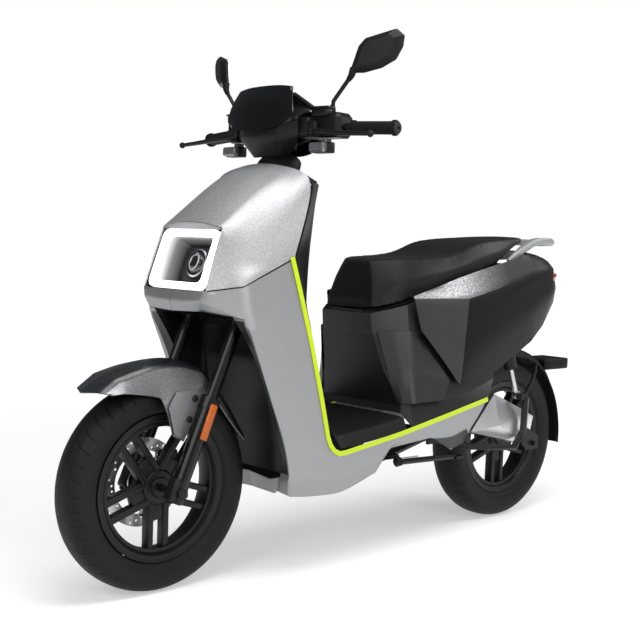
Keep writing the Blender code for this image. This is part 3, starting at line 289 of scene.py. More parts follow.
def treadRubber(name, axle):
    # slanted sipes across the tread, a groove at each side of the middle, and a ring on the sidewall; the
    # sipes and grooves are painted darker as painted shade
    graph = Graph(name)
    x = graph.along(0) - axle.x
    z = graph.along(2) - axle.z
    across = graph.maths("ABSOLUTE", graph.along(1))
    radius = graph.maths("SQRT", x * x + z * z)
    turn = graph.maths("ARCTAN2", z, x) * (treadLook["sipes"] / (2 * math.pi))
    lean = across * treadLook["slant"] - across * across * treadLook["sweep"]
    slant = graph.maths("FRACT", turn + lean)
    cut = graph.ramp(slant, [(0.0, 1.0), (0.10, 1.0), (0.14, 0.0), (0.96, 0.0), (1.0, 1.0)])
    zone = graph.past(across - treadLook["bareHalf"], 0.001) * graph.past(radius - treadLook["sipesFrom"],
                                                                          0.002)
    wave = graph.maths("PINGPONG", turn * 0.5, 0.5) * treadLook["weave"]
    middle = graph.maths("ABSOLUTE", across - wave - treadLook["channelOff"])
    crown = graph.past(radius - treadLook["channelFrom"], 0.001)
    channel = graph.past(treadLook["channelHalf"] - middle, 0.0006) * crown
    ring = graph.maths("ABSOLUTE", radius - treadLook["ring"])
    ridge = graph.past(treadLook["ringHalf"] - ring, 0.0008)
    grooveWithShade = graph.maths("MAXIMUM", cut * zone, channel)
    patch = graph.noise(14.0, 4.0)
    rubber = graph.blend(patch, (0.008, 0.008, 0.0085, 1), (0.013, 0.013, 0.0135, 1))
    # painted shade: the sipes and grooves are coloured near black
    graph.set(Base_Color=graph.blend(grooveWithShade, rubber, (0.002, 0.002, 0.002, 1)),
              Roughness=0.52 + patch * 0.1)
    height = ridge * 0.4 - grooveWithShade + graph.noise(420.0, 2.0) * 0.05
    graph.set(Normal=graph.bump(height, 0.9, 0.0015), Specular_IOR_Level=0.22)
    return graph.material


def seatVinyl():
    graph = Graph("seatVinyl")
    base = (0.0075, 0.0075, 0.0078)
    patch = graph.noise(7.0, 4.0)
    hide = graph.cells(420.0)
    fine = graph.noise(900.0, 2.0)
    graph.set(Base_Color=graph.blend(patch, tint(base, 0.8), tint(base, 1.3)))
    graph.set(Roughness=0.48 + (patch - 0.5) * 0.15)
    graph.set(Normal=graph.bump(hide + fine * 0.5, 0.35, 0.0005))
    graph.set(Specular_IOR_Level=0.22)
    return graph.material


def glowingYellowTrim():
    graph = Graph("glowingYellowTrim")
    patch = graph.noise(20.0)
    graph.set(Base_Color=graph.blend(patch, (0.60, 0.76, 0.02, 1), (0.66, 0.82, 0.03, 1)), Roughness=0.35)
    # painted light: the strips glow a little, though they are no lamp
    graph.set(Emission_Color=(0.66, 0.84, 0.03, 1))
    graph.set(Emission_Strength=0.25)
    return graph.material


def amberReflector():
    graph = Graph("amberReflector")
    prism = graph.cells(420.0)
    graph.set(Base_Color=graph.blend(prism, (0.82, 0.18, 0.004, 1), (0.62, 0.10, 0.002, 1)), Roughness=0.3)
    graph.set(Normal=graph.bump(prism, 0.4, 0.0005))
    graph.set(Coat_Weight=0.25)
    return graph.material


def redLens():
    graph = Graph("redLens")
    prism = graph.cells(300.0)
    graph.set(Base_Color=graph.blend(prism, (0.50, 0.015, 0.01, 1), (0.25, 0.005, 0.004, 1)),
              Roughness=0.18)
    graph.set(Coat_Weight=1.0)
    return graph.material


def clearLens():
    graph = Graph("clearLens")
    prism = graph.cells(260.0)
    graph.set(Base_Color=graph.blend(prism, (0.34, 0.345, 0.36, 1), (0.13, 0.13, 0.14, 1)), Roughness=0.14)
    graph.set(Normal=graph.bump(prism, 0.5, 0.0006), Metallic=0.4, Coat_Weight=1.0)
    return graph.material


def lightGuide():
    graph = Graph("lightGuide")
    patch = graph.noise(30.0)
    graph.set(Base_Color=graph.blend(patch, (0.9, 0.92, 0.95, 1), (1, 1, 1, 1)), Roughness=0.3)
    graph.set(Emission_Color=(0.95, 0.98, 1.0, 1))
    graph.set(Emission_Strength=1.6)
    return graph.material


lampLook = {"middle": Vector((0.632, 0, 0.815)), "facing": Vector((0.154, 0, 0.056)).normalized(),
            "down": Vector((0.056, 0, -0.154)).normalized()}


def lampGlow():
    # the lamp's bowl glows: painted light beside the frame, fading to painted shade in its depth
    graph = Graph("lampGlow")
    depth = graph.reach(tuple(lampLook["facing"]), tuple(lampLook["middle"]))
    glow = graph.ramp(depth * 16.0 + 1.1, [(0.15, 0.012), (0.55, 0.16), (0.95, 0.9)])
    graph.set(Base_Color=glow, Roughness=0.35, Emission_Color=glow)
    graph.set(Emission_Strength=0.55)
    return graph.material


def darkGlass():
    graph = Graph("darkGlass")
    patch = graph.noise(30.0)
    graph.set(Base_Color=graph.blend(patch, (0.010, 0.010, 0.012, 1), (0.018, 0.018, 0.02, 1)),
              Roughness=0.06)
    graph.set(Coat_Weight=1.0)
    return graph.material


def mirrorGlass():
    graph = Graph("mirrorGlass")
    patch = graph.noise(15.0)
    graph.set(Base_Color=(0.85, 0.86, 0.88, 1), Metallic=1.0, Roughness=0.03 + patch * 0.03)
    return graph.material


finish = {name: coated(name, look) for name, look in coatLook.items()}
for maker in (silverSatin, fenderPaint, tailPaint, boxGrey, seatVinyl, glowingYellowTrim, amberReflector, redLens,
              clearLens, lightGuide, lampGlow, darkGlass, mirrorGlass):
    finish[maker.__name__] = maker()
finish["frontTread"] = treadRubber("frontTread", frontAxle)
finish["rearTread"] = treadRubber("rearTread", rearAxle)
print("materials made:", len(finish))


def activate(piece):
    bpy.ops.object.select_all(action="DESELECT")
    piece.select_set(True)
    bpy.context.view_layer.objects.active = piece


def enterEdit(piece):
    activate(piece)
    bpy.ops.object.mode_set(mode="EDIT")
    bpy.ops.mesh.select_all(action="DESELECT")


def leaveEdit():
    bpy.ops.object.mode_set(mode="OBJECT")


def selectFaces(piece, test):
    # in edit mode: selects the faces whose middle and normal pass the test
    bpy.ops.mesh.select_mode(type="FACE")
    grid = bmesh.from_edit_mesh(piece.data)
    for face in grid.faces:
        face.select = bool(test(face.calc_center_median(), face.normal))
    grid.select_flush_mode()
    bmesh.update_edit_mesh(piece.data)


def applyModifier(piece, name, kind, settings):
    activate(piece)
    made = piece.modifiers.new(name, kind)
    for key, value in settings.items():
        setattr(made, key, value)
    bpy.ops.object.modifier_apply(modifier=made.name)


def smooth(piece, degrees=35):
    activate(piece)
    bpy.ops.object.shade_smooth_by_angle(angle=math.radians(degrees))


def joinPieces(pieces, name):
    activate(pieces[0])
    for piece in pieces[1:]:
        piece.select_set(True)
    if len(pieces) > 1:
        bpy.ops.object.join()
    pieces[0].name = name
    pieces[0].data.name = name
    return pieces[0]


def turnedTo(piece, axis, centre, own=(0, 0, 1)):
    # turns a piece made round its own axis so that it lies along axis, and puts it at centre
    turn = Vector(own).rotation_difference(Vector(axis).normalized()).to_matrix().to_4x4()
    piece.data.transform(Matrix.Translation(Vector(centre)) @ turn @ piece.matrix_world)
    piece.matrix_world = Matrix.Identity(4)
    return piece


def settle(piece, body, slot, material, *nodes):
    # the end of each piece: its finish, its body and the CAD nodes it stands for; the slot is not used
    piece.data.materials.clear()
    piece.data.materials.append(finish[material])
    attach(piece, body)
    if nodes:
        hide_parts(*nodes)


def assembled(parts, name, degrees, body, slot, material, *nodes):
    # several shapes joined into one finished piece
    piece = joinPieces(parts, name)
    smooth(piece, degrees)
    settle(piece, body, slot, material, *nodes)


def mergedCopy(node, name):
    # a copy of a CAD node with its doubles merged, left in edit mode with everything selected
    piece = bpy.data.objects.new(name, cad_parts[node].data.copy())
    piece.data.name = name
    bpy.context.scene.collection.objects.link(piece)
    enterEdit(piece)
    bpy.ops.mesh.select_all(action="SELECT")
    bpy.ops.mesh.remove_doubles(threshold=0.00005)
    return piece


def flatCopy(node, name):
    # a copy whose flat faces are whole again
    piece = mergedCopy(node, name)
    bpy.ops.mesh.dissolve_limited(angle_limit=math.radians(1.0))
    leaveEdit()
    return piece


def roundEdges(piece, width, segments, degrees):
    settings = {"width": width, "segments": segments, "limit_method": "ANGLE",
                "angle_limit": math.radians(degrees), "harden_normals": False}
    applyModifier(piece, "round", "BEVEL", settings)
    smooth(piece, 40)
    applyModifier(piece, "weigh", "WEIGHTED_NORMAL", {"keep_sharp": True, "weight": 60})


def finishedCopy(node, name, body, slot, material, width=0.001, segments=2, degrees=20):
    piece = flatCopy(node, name)
    if width:
        roundEdges(piece, width, segments, degrees)
    else:
        smooth(piece, 40)
    settle(piece, body, slot, material, node)


def panelCopy(node, name, body, slot, material, soft=0.75, softFrom=16, line=None):
    # a moulded panel: its faces are curved between its creases, and its rim stays crisp
    piece = curvedCopy(node, name, soft, softFrom, line)
    smooth(piece, 38)
    settle(piece, body, slot, material, node)


creaseLook = {"sharpFrom": 62, "line": 0.9, "levels": 2}


def curvedCopy(node, name, soft, softFrom, line=None):
    # four-sided faces curved except at the creases: soft ones above softFrom degrees, and along line
    piece = mergedCopy(node, name)
    bpy.ops.mesh.tris_convert_to_quads(face_threshold=math.radians(45), shape_threshold=math.radians(60))
    leaveEdit()
    grid = bmesh.new()
    grid.from_mesh(piece.data)
    creases = grid.edges.layers.float.new("crease_edge")
    for edge in grid.edges:
        angle = math.degrees(edge.calc_face_angle(math.pi))
        edge[creases] = 1.0 if angle > creaseLook["sharpFrom"] else soft if angle > softFrom else 0.0
        if line and all(line(end.co) for end in edge.verts):
            edge[creases] = max(edge[creases], creaseLook["line"])
    grid.to_mesh(piece.data)
    grid.free()
    levels = creaseLook["levels"]
    applyModifier(piece, "curve", "SUBSURF", {"levels": levels, "render_levels": levels,
                                              "use_limit_surface": False})
    return piece


def turnOut(piece, gap=0.0):
    # merges doubles within the gap and points every face outwards
    enterEdit(piece)
    bpy.ops.mesh.select_all(action="SELECT")
    if gap:
        bpy.ops.mesh.remove_doubles(threshold=gap)
    bpy.ops.mesh.normals_make_consistent(inside=False)
    leaveEdit()


def tubeAlong(name, points, radius, tapers=None, steps=6, sidesRound=5):
    # a round tube on a smooth path through points, thinner or thicker at each as tapers says
    bpy.ops.object.select_all(action="DESELECT")
    bpy.ops.curve.primitive_nurbs_path_add()
    line = bpy.context.object
    line.name = name
    data = line.data
    data.splines.clear()
    path = data.splines.new("NURBS")
    path.points.add(len(points) - 1)
    for i, point in enumerate(points):
        path.points[i].co = (*point, 1)
        path.points[i].radius = tapers[i] if tapers else 1.0
    path.order_u = 3
    path.use_endpoint_u = True
    data.resolution_u = steps
    data.bevel_depth = radius
    data.bevel_resolution = sidesRound
    data.use_fill_caps = True
    bpy.ops.object.convert(target="MESH")
    piece = bpy.context.object
    turnOut(piece, 0.00002)
    smooth(piece, 50)
    return piece


def cylinder(name, radius, depth, centre, axis, vertices=32, bevel=0.0):
    bpy.ops.object.select_all(action="DESELECT")
    bpy.ops.mesh.primitive_cylinder_add(vertices=vertices, radius=radius, depth=depth)
    piece = bpy.context.object
    piece.name = name
    turnedTo(piece, axis, centre)
    if bevel:
        applyModifier(piece, "round", "BEVEL", {"width": bevel, "segments": 2, "limit_method": "ANGLE"})
    smooth(piece, 35)
    return piece


def boxPiece(name, size, centre, turn=None, bevel=0.0, segments=2):
    bpy.ops.object.select_all(action="DESELECT")
    bpy.ops.mesh.primitive_cube_add(size=1)
    piece = bpy.context.object
    piece.name = name
    turning = turn.to_4x4() if turn else Matrix.Identity(4)
    piece.data.transform(Matrix.Translation(Vector(centre)) @ turning @ Matrix.Diagonal((*size, 1)))
    if bevel:
        applyModifier(piece, "round", "BEVEL", {"width": bevel, "segments": segments})
    smooth(piece, 35)
    return piece


def spun(name, profile, steps=96):
    # a ring turned about Y at the origin, from (radius, y) points
    bpy.ops.object.select_all(action="DESELECT")
    mesh = bpy.data.meshes.new(name)
    count = len(profile)
    links = [(i, (i + 1) % count) for i in range(count)]
    mesh.from_pydata([(radius, y, 0) for radius, y in profile], links, [])
    piece = bpy.data.objects.new(name, mesh)
    bpy.context.scene.collection.objects.link(piece)
    enterEdit(piece)
    bpy.ops.mesh.select_all(action="SELECT")
    bpy.ops.mesh.spin(steps=steps, angle=2 * math.pi, center=(0, 0, 0), axis=(0, 1, 0))
    leaveEdit()
    turnOut(piece, 0.00003)
    smooth(piece, 32)
    return piece


def sheetPiece(name, points, ring=False):
    # four-sided faces between rows of points, or one face in a single row; rings are capped at both ends
    bpy.ops.object.select_all(action="DESELECT")
    bpy.ops.mesh.primitive_plane_add(size=0.01)
    piece = bpy.context.object
    piece.name = name
    grid = bmesh.new()
    rows = [[grid.verts.new(spot) for spot in row] for row in points]
    count = len(rows[0])
    for near, far in zip(rows, rows[1:]):
        for i in range(count if ring else count - 1):
            k = (i + 1) % count
            grid.faces.new([near[i], far[i], far[k], near[k]])
    if ring or len(rows) == 1:
        grid.faces.new(rows[0])
    if ring:
        grid.faces.new(rows[-1])
    bmesh.ops.recalc_face_normals(grid, faces=grid.faces)
    grid.to_mesh(piece.data)
    grid.free()
    return piece


def plateThrough(name, points, thickness, bevel=0.0):
    # a flat or bent plate: a sheet through rows of points, given a wall
    piece = sheetPiece(name, points)
    applyModifier(piece, "wall", "SOLIDIFY", {"thickness": thickness, "offset": 0, "use_even_offset": True})
    if bevel:
        applyModifier(piece, "round", "BEVEL", {"width": bevel, "segments": 2, "limit_method": "ANGLE"})
    turnOut(piece)
    smooth(piece, 40)
    return piece


def bothSides(row):
    # a row of points that starts in the middle plane, made whole from right to left
    return [Vector((x, -y, z)) for x, y, z in row[:0:-1]] + [Vector(spot) for spot in row]


def bodywork():
    panelCopy("front_cowl", "frontCowl", "chassis", "silver_paint", "silverGloss", 0.5, 45,
              line=lambda spot: 0.112 < abs(spot.y) < 0.129 and spot.z > 0.86)
    panelCopy("splash_guard", "splashGuard", "chassis", "black_plastic", "satinBlack")
    panelCopy("inner_leg_shield", "innerLegShield", "chassis", "black_plastic", "satinBlack", 0.6)
    panelCopy("floorboard", "floorboardTray", "chassis", "black_plastic", "mattBlack")
    finishedCopy("seat_box", "seatBox", "chassis", "black_plastic", "boxGrey", 0.0014, 2, 14)
    finishedCopy("tail_light", "tailLight", "chassis", "red_lens", "redLens", 0.002, 3)
    for word, side, sign in sides:
        panelCopy(f"fairing_{side}", f"legShield{word}", "chassis", "silver_paint", "silverSatin", 0.8, 20)
        panelCopy(f"side_panel_{side}", f"sidePanel{word}", "chassis", "dark_grey_plastic", "panelGrey",
                  0.9, 6)
        panelCopy(f"tail_fairing_{side}", f"tailShell{word}", "chassis", "satin_black_paint", "tailPaint",
                  0.94, 7)
    print("bodywork done")


def splashSill():
    # closes the foot of the splash guard against the belly
    upper = [(0.397, 0.0, 0.2745), (0.397, 0.115, 0.2745), (0.411, 0.146, 0.2745), (0.421, 0.1565, 0.2745)]
    lower = [(0.4035, 0.0, 0.2635), (0.4135, 0.100, 0.2585), (0.4230, 0.140, 0.2670),
             (0.4285, 0.1560, 0.2720)]
    piece = plateThrough("splashSill", [bothSides(upper), bothSides(lower)], 0.002)
    settle(piece, "chassis", "black_plastic", "satinBlack")


def cowlDeck():
    # closes the top of the cowl down to the inner shield, with a round hole for the steering collar
    front = [(0.3915, 0.0, 1.0570), (0.3895, 0.060, 1.0530), (0.3875, 0.119, 1.0420),
             (0.3860, 0.162, 1.0310), (0.3835, 0.1870, 1.0095)]
    middle = [(0.350, 0.0, 1.0440), (0.350, 0.060, 1.0410), (0.350, 0.118, 1.0330), (0.362, 0.160, 1.0230),
              (0.3815, 0.1872, 1.0040)]
    rear = [(0.3015, 0.0, 1.0200), (0.3015, 0.060, 1.0200), (0.3015, 0.118, 1.0180),
            (0.3370, 0.158, 1.0140), (0.3790, 0.1874, 0.9985)]
    piece = plateThrough("cowlDeck", [bothSides(row) for row in (front, middle, rear)], 0.002)
    hole = cylinder("hole", 0.0625, 0.12, neck, forkUp, 72)
    applyModifier(piece, "hole", "BOOLEAN", {"operation": "DIFFERENCE", "object": hole})
    bpy.data.objects.remove(hole)
    smooth(piece, 35)
    settle(piece, "chassis", "black_plastic", "satinBlack")


def carriedNodes():
    # CAD nodes whose shape is right keep it and take a better finish
    kept = {
        "castBlack": ("main_frame", "front_axle", "rear_axle"),
        "mattBlack": ("storage_bucket", "battery_pack"),
        "castSilver": ("motor_controller",),
        "steelGrey": ("ignition_key", "shock_lower_left", "shock_lower_right"),
    }
    for material, nodes in kept.items():
        for node in nodes:
            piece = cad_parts[node]
            piece.data.materials.clear()
            piece.data.materials.append(finish[material])


def plainCopies():
    # parts of the running gear and the controls that only need round edges
    rows = [
        ("fork_yoke", "forkYoke", "steering", "black_steel", "glossBlack", 0.0012),
        ("handlebar", "handlebarTube", "steering", "black_steel", "satinBlack", 0),
        ("instrument_display", "instrumentDisplay", "steering", "dark_grey_plastic", "glossBlack", 0.001),
        ("front_caliper", "frontCaliper", "fork_lower", "black_steel", "castBlack", 0.002),
        ("swingarm", "swingarmTubes", "swingarm", "satin_black_paint", "castBlack", 0),
        ("motor_housing", "motorCover", "swingarm", "cast_aluminium", "castSilver", 0.003),
        ("side_stand", "sideStand", "stand", "black_steel", "castBlack", 0.001),
        ("horn_button", "hornButton", "horn", "dark_grey_plastic", "mattBlack", 0.001),
        ("grip_left", "gripLeft", "steering", "grip_rubber", "gripRubber", 0.001),
        ("throttle_grip", "throttleGrip", "throttle", "grip_rubber", "gripRubber", 0.001),
        ("seat_base", "seatBase", "seat", "black_plastic", "mattBlack", 0),
    ]
    for word, side, sign in sides:
        rows += [
            (f"fork_leg_{side}", f"forkLeg{word}", "fork_lower", "satin_black_paint", "glossBlack", 0.001),
            (f"switch_housing_{side}", f"switchHousing{word}", "steering", "black_plastic", "satinBlack",
             0.001),
            (f"turn_signal_{side}", f"turnSignal{word}", "steering", "clear_lens", "clearLens", 0.001),
            (f"mirror_stem_{side}", f"mirrorStem{word}", "steering", "black_steel", "satinBlack", 0),
            (f"mirror_head_{side}", f"mirrorHead{word}", f"mirror_{side}", "black_plastic", "satinBlack",
             0.003),
            (f"shock_upper_{side}", f"shockSleeve{word}", f"shock_body_{side}", "satin_black_paint",
             "castBlack", 0.001),
        ]
    for node, name, body, slot, material, width in rows:
        finishedCopy(node, name, body, slot, material, width)
    panelCopy("handlebar_cover", "handlebarCover", "steering", "black_plastic", "satinBlack", 0.7, 24)
    panelCopy("visor", "visorScreen", "steering", "satin_black_paint", "glossBlack", 0.5, 24)
    panelCopy("front_fender", "frontFender", "fork_lower", "satin_black_paint", "fenderPaint", 0.9, 18)
    panelCopy("rear_hugger", "rearHugger", "swingarm", "black_plastic", "mattBlack", 0.8, 30)
    print("running gear copies done")


tyreLook = {"steps": 216, "bead": 0.1835}


def tyre(name, node, axle, body, tread):
    low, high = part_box(node)
    half = (high.y - low.y) / 2
    bead = tyreLook["bead"]
    outside = [(bead, half * 0.70), (0.190, half * 0.86), (0.205, half * 0.965), (0.222, half * 0.998),
               (0.232, half * 0.985), (0.241, half * 0.93), (0.2485, half * 0.80), (0.2538, half * 0.60),
               (0.2568, half * 0.38), (wheelRadius - 0.0001, half * 0.18), (wheelRadius, 0.004)]
    inside = [(bead, -half * 0.55), (0.205, -half * 0.80), (0.236, -half * 0.74), (0.246, 0),
              (0.236, half * 0.74), (0.205, half * 0.80), (bead, half * 0.55)]
    piece = spun(name, outside + [(r, -y) for r, y in reversed(outside)] + inside, tyreLook["steps"])
    piece.data.transform(Matrix.Translation(axle))
    settle(piece, body, "tyre_rubber", tread, node)


rimLook = {"spokes": 5, "spokeY": 0.011, "barHalf": 0.0082, "barSide": 0.0225, "barInner": 0.026,
           "barOuter": 0.166}


def rim(name, node, axle, body, hubRight):
    half = [(0.158, 0.012), (0.161, 0.030), (0.1665, 0.0375), (0.176, 0.0385), (0.1825, 0.0400),
            (0.1825, 0.0375), (0.1800, 0.0360), (0.1742, 0.0352), (0.1742, 0.0250), (0.165, 0.012)]
    barrel = spun("barrel", half + [(r, -y) for r, y in reversed(half)])
    hub = spun("hub", [(0.0095, 0.034), (0.0235, 0.034), (0.0255, 0.032), (0.0265, 0.0285),
                       (0.0400, 0.0275), (0.0440, 0.0240), (0.0460, 0.0160), (0.0460, 0.0060),
                       (0.0360, 0.0), (0.036, -hubRight), (0.0095, -hubRight)], 72)
    parts = [barrel, hub]
    barLong = rimLook["barOuter"] - rimLook["barInner"]
    barMiddle = rimLook["barInner"] + barLong / 2
    for spoke in range(rimLook["spokes"]):
        turn = Matrix.Rotation(math.pi / 2 + spoke * 2 * math.pi / rimLook["spokes"], 4, "Y")
        for side in (1, -1):
            bar = boxPiece("bar", (barLong, 0.028, 2 * rimLook["barHalf"]),
                           (barMiddle, rimLook["spokeY"], side * rimLook["barSide"]), None, 0.003, 3)
            bar.data.transform(turn)
            parts.append(bar)
        web = boxPiece("web", (0.046, 0.020, 2 * rimLook["barSide"] + 0.004), (0.058, rimLook["spokeY"], 0),
                       None, 0.003, 3)
        web.data.transform(turn)
        parts.append(web)
    parts.append(spun("lip", [(0.1500, 0.026), (0.1505, 0.029), (0.1590, 0.029), (0.1640, 0.024),
                              (0.1640, 0.014), (0.1500, 0.014)]))
    piece = joinPieces(parts, name)
    piece.data.transform(Matrix.Translation(axle))
    settle(piece, body, "rim_paint", "castBlack", node)


discLook = {"radius": 0.112, "inner": 0.080, "holes": 40, "holeRadius": 0.0036,
            "holeRows": (0.088, 0.097, 0.105), "spokes": 5}


def brakeDisc():
    low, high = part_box("front_brake_disc")
    half = (high.y - low.y) / 2
    outer, inner, rows = discLook["radius"], discLook["inner"], discLook["holeRows"]
    ring = spun("frontBrakeDisc", [(outer, half), (outer, -half), (inner, -half), (inner, half)], 90)
    cutters = []
    for i in range(discLook["holes"]):
        angle = i * 2 * math.pi / discLook["holes"]
        reach = rows[i % len(rows)]
        spot = (reach * math.cos(angle), 0, reach * math.sin(angle))
        cutters.append(cylinder("cutter", discLook["holeRadius"], 0.02, spot, (0, 1, 0), 12))
    cutter = joinPieces(cutters, "cutter")
    applyModifier(ring, "holes", "BOOLEAN", {"operation": "DIFFERENCE", "object": cutter})
    bpy.data.objects.remove(cutter)
    parts = [ring]
    for i in range(discLook["spokes"]):
        arm = boxPiece("arm", (0.052, 2 * half, 0.012), (0.061, 0, 0), None, 0.0012)
        arm.data.transform(Matrix.Rotation(i * 2 * math.pi / discLook["spokes"] + 0.3, 4, "Y"))
        parts.append(arm)
    parts.append(spun("carrier", [(0.042, half), (0.042, -half), (0.0105, -half), (0.0105, half)], 48))
    piece = joinPieces(parts, "frontBrakeDisc")
    piece.data.transform(Matrix.Translation(Vector((frontAxle.x, (low.y + high.y) / 2, frontAxle.z))))
    smooth(piece, 30)
    settle(piece, "front_wheel", "steel", "steelGrey", "front_brake_disc")


def wheels():
    tyre("frontTyre", "front_tyre", frontAxle, "front_wheel", "frontTread")
    tyre("rearTyre", "rear_tyre", rearAxle, "rear_wheel", "rearTread")
    rim("frontRim", "front_rim", frontAxle, "front_wheel", 0.0465)
    rim("rearRim", "rear_rim", rearAxle, "rear_wheel", 0.050)
    brakeDisc()
    print("wheels done")


projectorLook = {"steps": 64, "depth": -0.050, "crescent": 0.0225, "crescentHalf": 70, "crescentSteps": 12}


def lampPoint(across, up, depth):
    # a place in the lamp's own frame: to the side, up its face and out of it
    return lampLook["middle"] + Vector((0, across, 0)) - lampLook["down"] * up + lampLook["facing"] * depth


def headlight():
    finishedCopy("headlight_ring", "headlightFrame", "chassis", "light_ring", "lightGuide", 0.003, 3, 40)
    finishedCopy("headlight_housing", "headlightBowl", "chassis", "black_plastic", "lampGlow", 0.001, 2, 40)
    facing = lampLook["facing"]
    centre = lampPoint(0, 0.004, projectorLook["depth"])
    dome = spun("headlightProjector", [(0.0005, 0.020), (0.012, 0.0185), (0.022, 0.0135), (0.0290, 0.006),
                                       (0.0320, -0.004), (0.0320, -0.019), (0.0005, -0.019)],
                                       projectorLook["steps"])
    turnedTo(dome, facing, centre, (0, 1, 0))
    settle(dome, "chassis", "clear_lens", "darkGlass", "headlight_lens")
    bezel = spun("projectorBezel", [(0.0330, 0.006), (0.0370, 0.004), (0.0375, -0.012), (0.0330, -0.012)],
                 projectorLook["steps"])
    turnedTo(bezel, facing, centre, (0, 1, 0))
    settle(bezel, "chassis", "steel", "steelGrey")
    arc = []
    reach = projectorLook["crescent"]
    half = projectorLook["crescentHalf"]
    for step in range(projectorLook["crescentSteps"] + 1):
        angle = math.radians(-half + step * 2 * half / projectorLook["crescentSteps"])
        arc.append(lampPoint(reach * math.cos(angle), 0.004 + reach * math.sin(angle), -0.0335))
    crescent = tubeAlong("projectorCrescent", arc, 0.0030)
    settle(crescent, "chassis", "steel", "steelGrey")
    outline = ((0.062, 0.030), (0.045, 0.046), (-0.045, 0.046), (-0.062, 0.030), (-0.062, -0.024),
               (-0.045, -0.044), (0.045, -0.044), (0.062, -0.024))
    shade = plateThrough("projectorShade", [[lampPoint(across, up, -0.052) for across, up in outline]],
                         0.003, 0.001)
    settle(shade, "chassis", "black_plastic", "satinBlack")
    upper = bothSides([(0.6165, 0, 0.9035), (0.6125, 0.06, 0.9005), (0.6025, 0.116, 0.8900)])
    lower = bothSides([lampPoint(across, 0.0765, -0.003) for across in (0, 0.06, 0.108)])
    brow = plateThrough("headlightBrow", [upper, lower], 0.002)
    settle(brow, "chassis", "silver_paint", "silverSatin")
    print("headlight done")


stripLook = {"half": 0.0065, "proud": 0.0022, "y": 0.2045}


def yellowStrips():
    # a thin band on each side, along the edge of the leg shield and the floor
    points = [(0.453, 0.826), (0.4255, 0.747), (0.383, 0.623), (0.360, 0.545), (0.338, 0.469),
              (0.318, 0.395), (0.312, 0.372), (0.302, 0.350), (0.288, 0.334), (0.268, 0.3245),
              (0.245, 0.325), (0.150, 0.3385), (0.036, 0.355), (-0.100, 0.3795), (-0.200, 0.3985),
              (-0.335, 0.4245)]
    for word, side, sign in sides:
        path = [Vector((x, sign * stripLook["y"], z)) for x, z in points]
        rows = []
        for i, spot in enumerate(path):
            ahead = (path[min(i + 1, len(path) - 1)] - path[max(i - 1, 0)]).normalized()
            across = Vector((ahead.z, 0, -ahead.x)) * stripLook["half"]
            rows.append([spot + across, spot - across])
        piece = plateThrough(f"yellowStrip{word}", rows, stripLook["proud"])
        settle(piece, "chassis", "yellow_trim", "glowingYellowTrim")


railLook = {"thick": 0.021, "chamfer": 0.006, "steps": 5}


def betweenPoints(points, steps):
    # more points on a smooth path through points, each with its width
    made = []
    for i in range(len(points) - 1):
        before, first, second, after = (points[max(i - 1, 0)], points[i], points[i + 1],
                                        points[min(i + 2, len(points) - 1)])
        for step in range(steps):
            t = step / steps
            made.append([0.5 * (2 * b + (c - a) * t + (2 * a - 5 * b + 4 * c - d) * t * t
                                + (3 * b - a - 3 * c + d) * t ** 3)
                         for a, b, c, d in zip(before, first, second, after)])
    return made + [list(points[-1])]


def bandAlong(name, points, thick, chamfer):
    # a flat band with chamfered edges, from (x, y, z, width) points
    rings = []
    for i, point in enumerate(points):
        before = Vector(points[max(i - 1, 0)][:3])
        after = Vector(points[min(i + 1, len(points) - 1)][:3])
        ahead = (after - before).normalized()
        side = Vector((0, 0, 1)).cross(ahead).normalized()
        up = ahead.cross(side)
        wide = point[3] / 2
        cut = min(chamfer, wide * 0.6)
        tall = thick / 2 * min(1.0, 0.35 + point[3] / 0.03)  # the band thins out at its narrow ends
        low = min(cut, tall * 0.6)
        outline = ((wide, tall - low), (wide - cut, tall), (cut - wide, tall), (-wide, tall - low),
                   (-wide, low - tall), (cut - wide, -tall), (wide - cut, -tall), (wide, low - tall))
        rings.append([Vector(point[:3]) + side * a + up * b for a, b in outline])
    piece = sheetPiece(name, rings, ring=True)
    smooth(piece, 30)
    return piece


def grabRail():
    half = [(-0.505, 0.1235, 0.829, 0.010), (-0.545, 0.1215, 0.850, 0.020), (-0.590, 0.119, 0.872, 0.028),
            (-0.645, 0.114, 0.891, 0.032), (-0.715, 0.105, 0.896, 0.034), (-0.770, 0.082, 0.893, 0.034),
            (-0.794, 0.042, 0.891, 0.034), (-0.799, 0.0, 0.891, 0.034)]
    path = half + [(x, -y, z, wide) for x, y, z, wide in half[-2::-1]]
    band = bandAlong("grabRail", betweenPoints(path, railLook["steps"]), railLook["thick"],
                     railLook["chamfer"])
    settle(band, "chassis", "cast_aluminium", "railSilver", "grab_rail")
    print("grab rail done")


def levers():
    taper = (1.3, 1.35, 1.2, 0.95, 0.85)
    for word, side, sign in sides:
        path = [(0.350, sign * 0.147, 1.1385), (0.361, sign * 0.172, 1.137), (0.3665, sign * 0.215, 1.133),
                (0.367, sign * 0.285, 1.127), (0.3695, sign * 0.366, 1.1225)]
        blade = tubeAlong("blade", path, 0.0062, taper)
        bpy.ops.object.select_all(action="DESELECT")
        bpy.ops.mesh.primitive_uv_sphere_add(segments=24, ring_count=14, radius=0.0085)
        knob = turnedTo(bpy.context.object, (0, 0, 1), (0.370, sign * 0.369, 1.1222))
        pivot = (0.355, sign * 0.150, 1.1378)
        boss = cylinder("boss", 0.0105, 0.0135, pivot, (0, 0, 1), 28, 0.0015)
        bolt = cylinder("bolt", 0.0048, 0.0180, pivot, (0, 0, 1), 6, 0.0006)
        assembled([blade, knob, boss, bolt], f"brakeLever{word}", 40, f"lever_{side}", "black_steel",
                  "satinBlack", f"brake_lever_{side}")


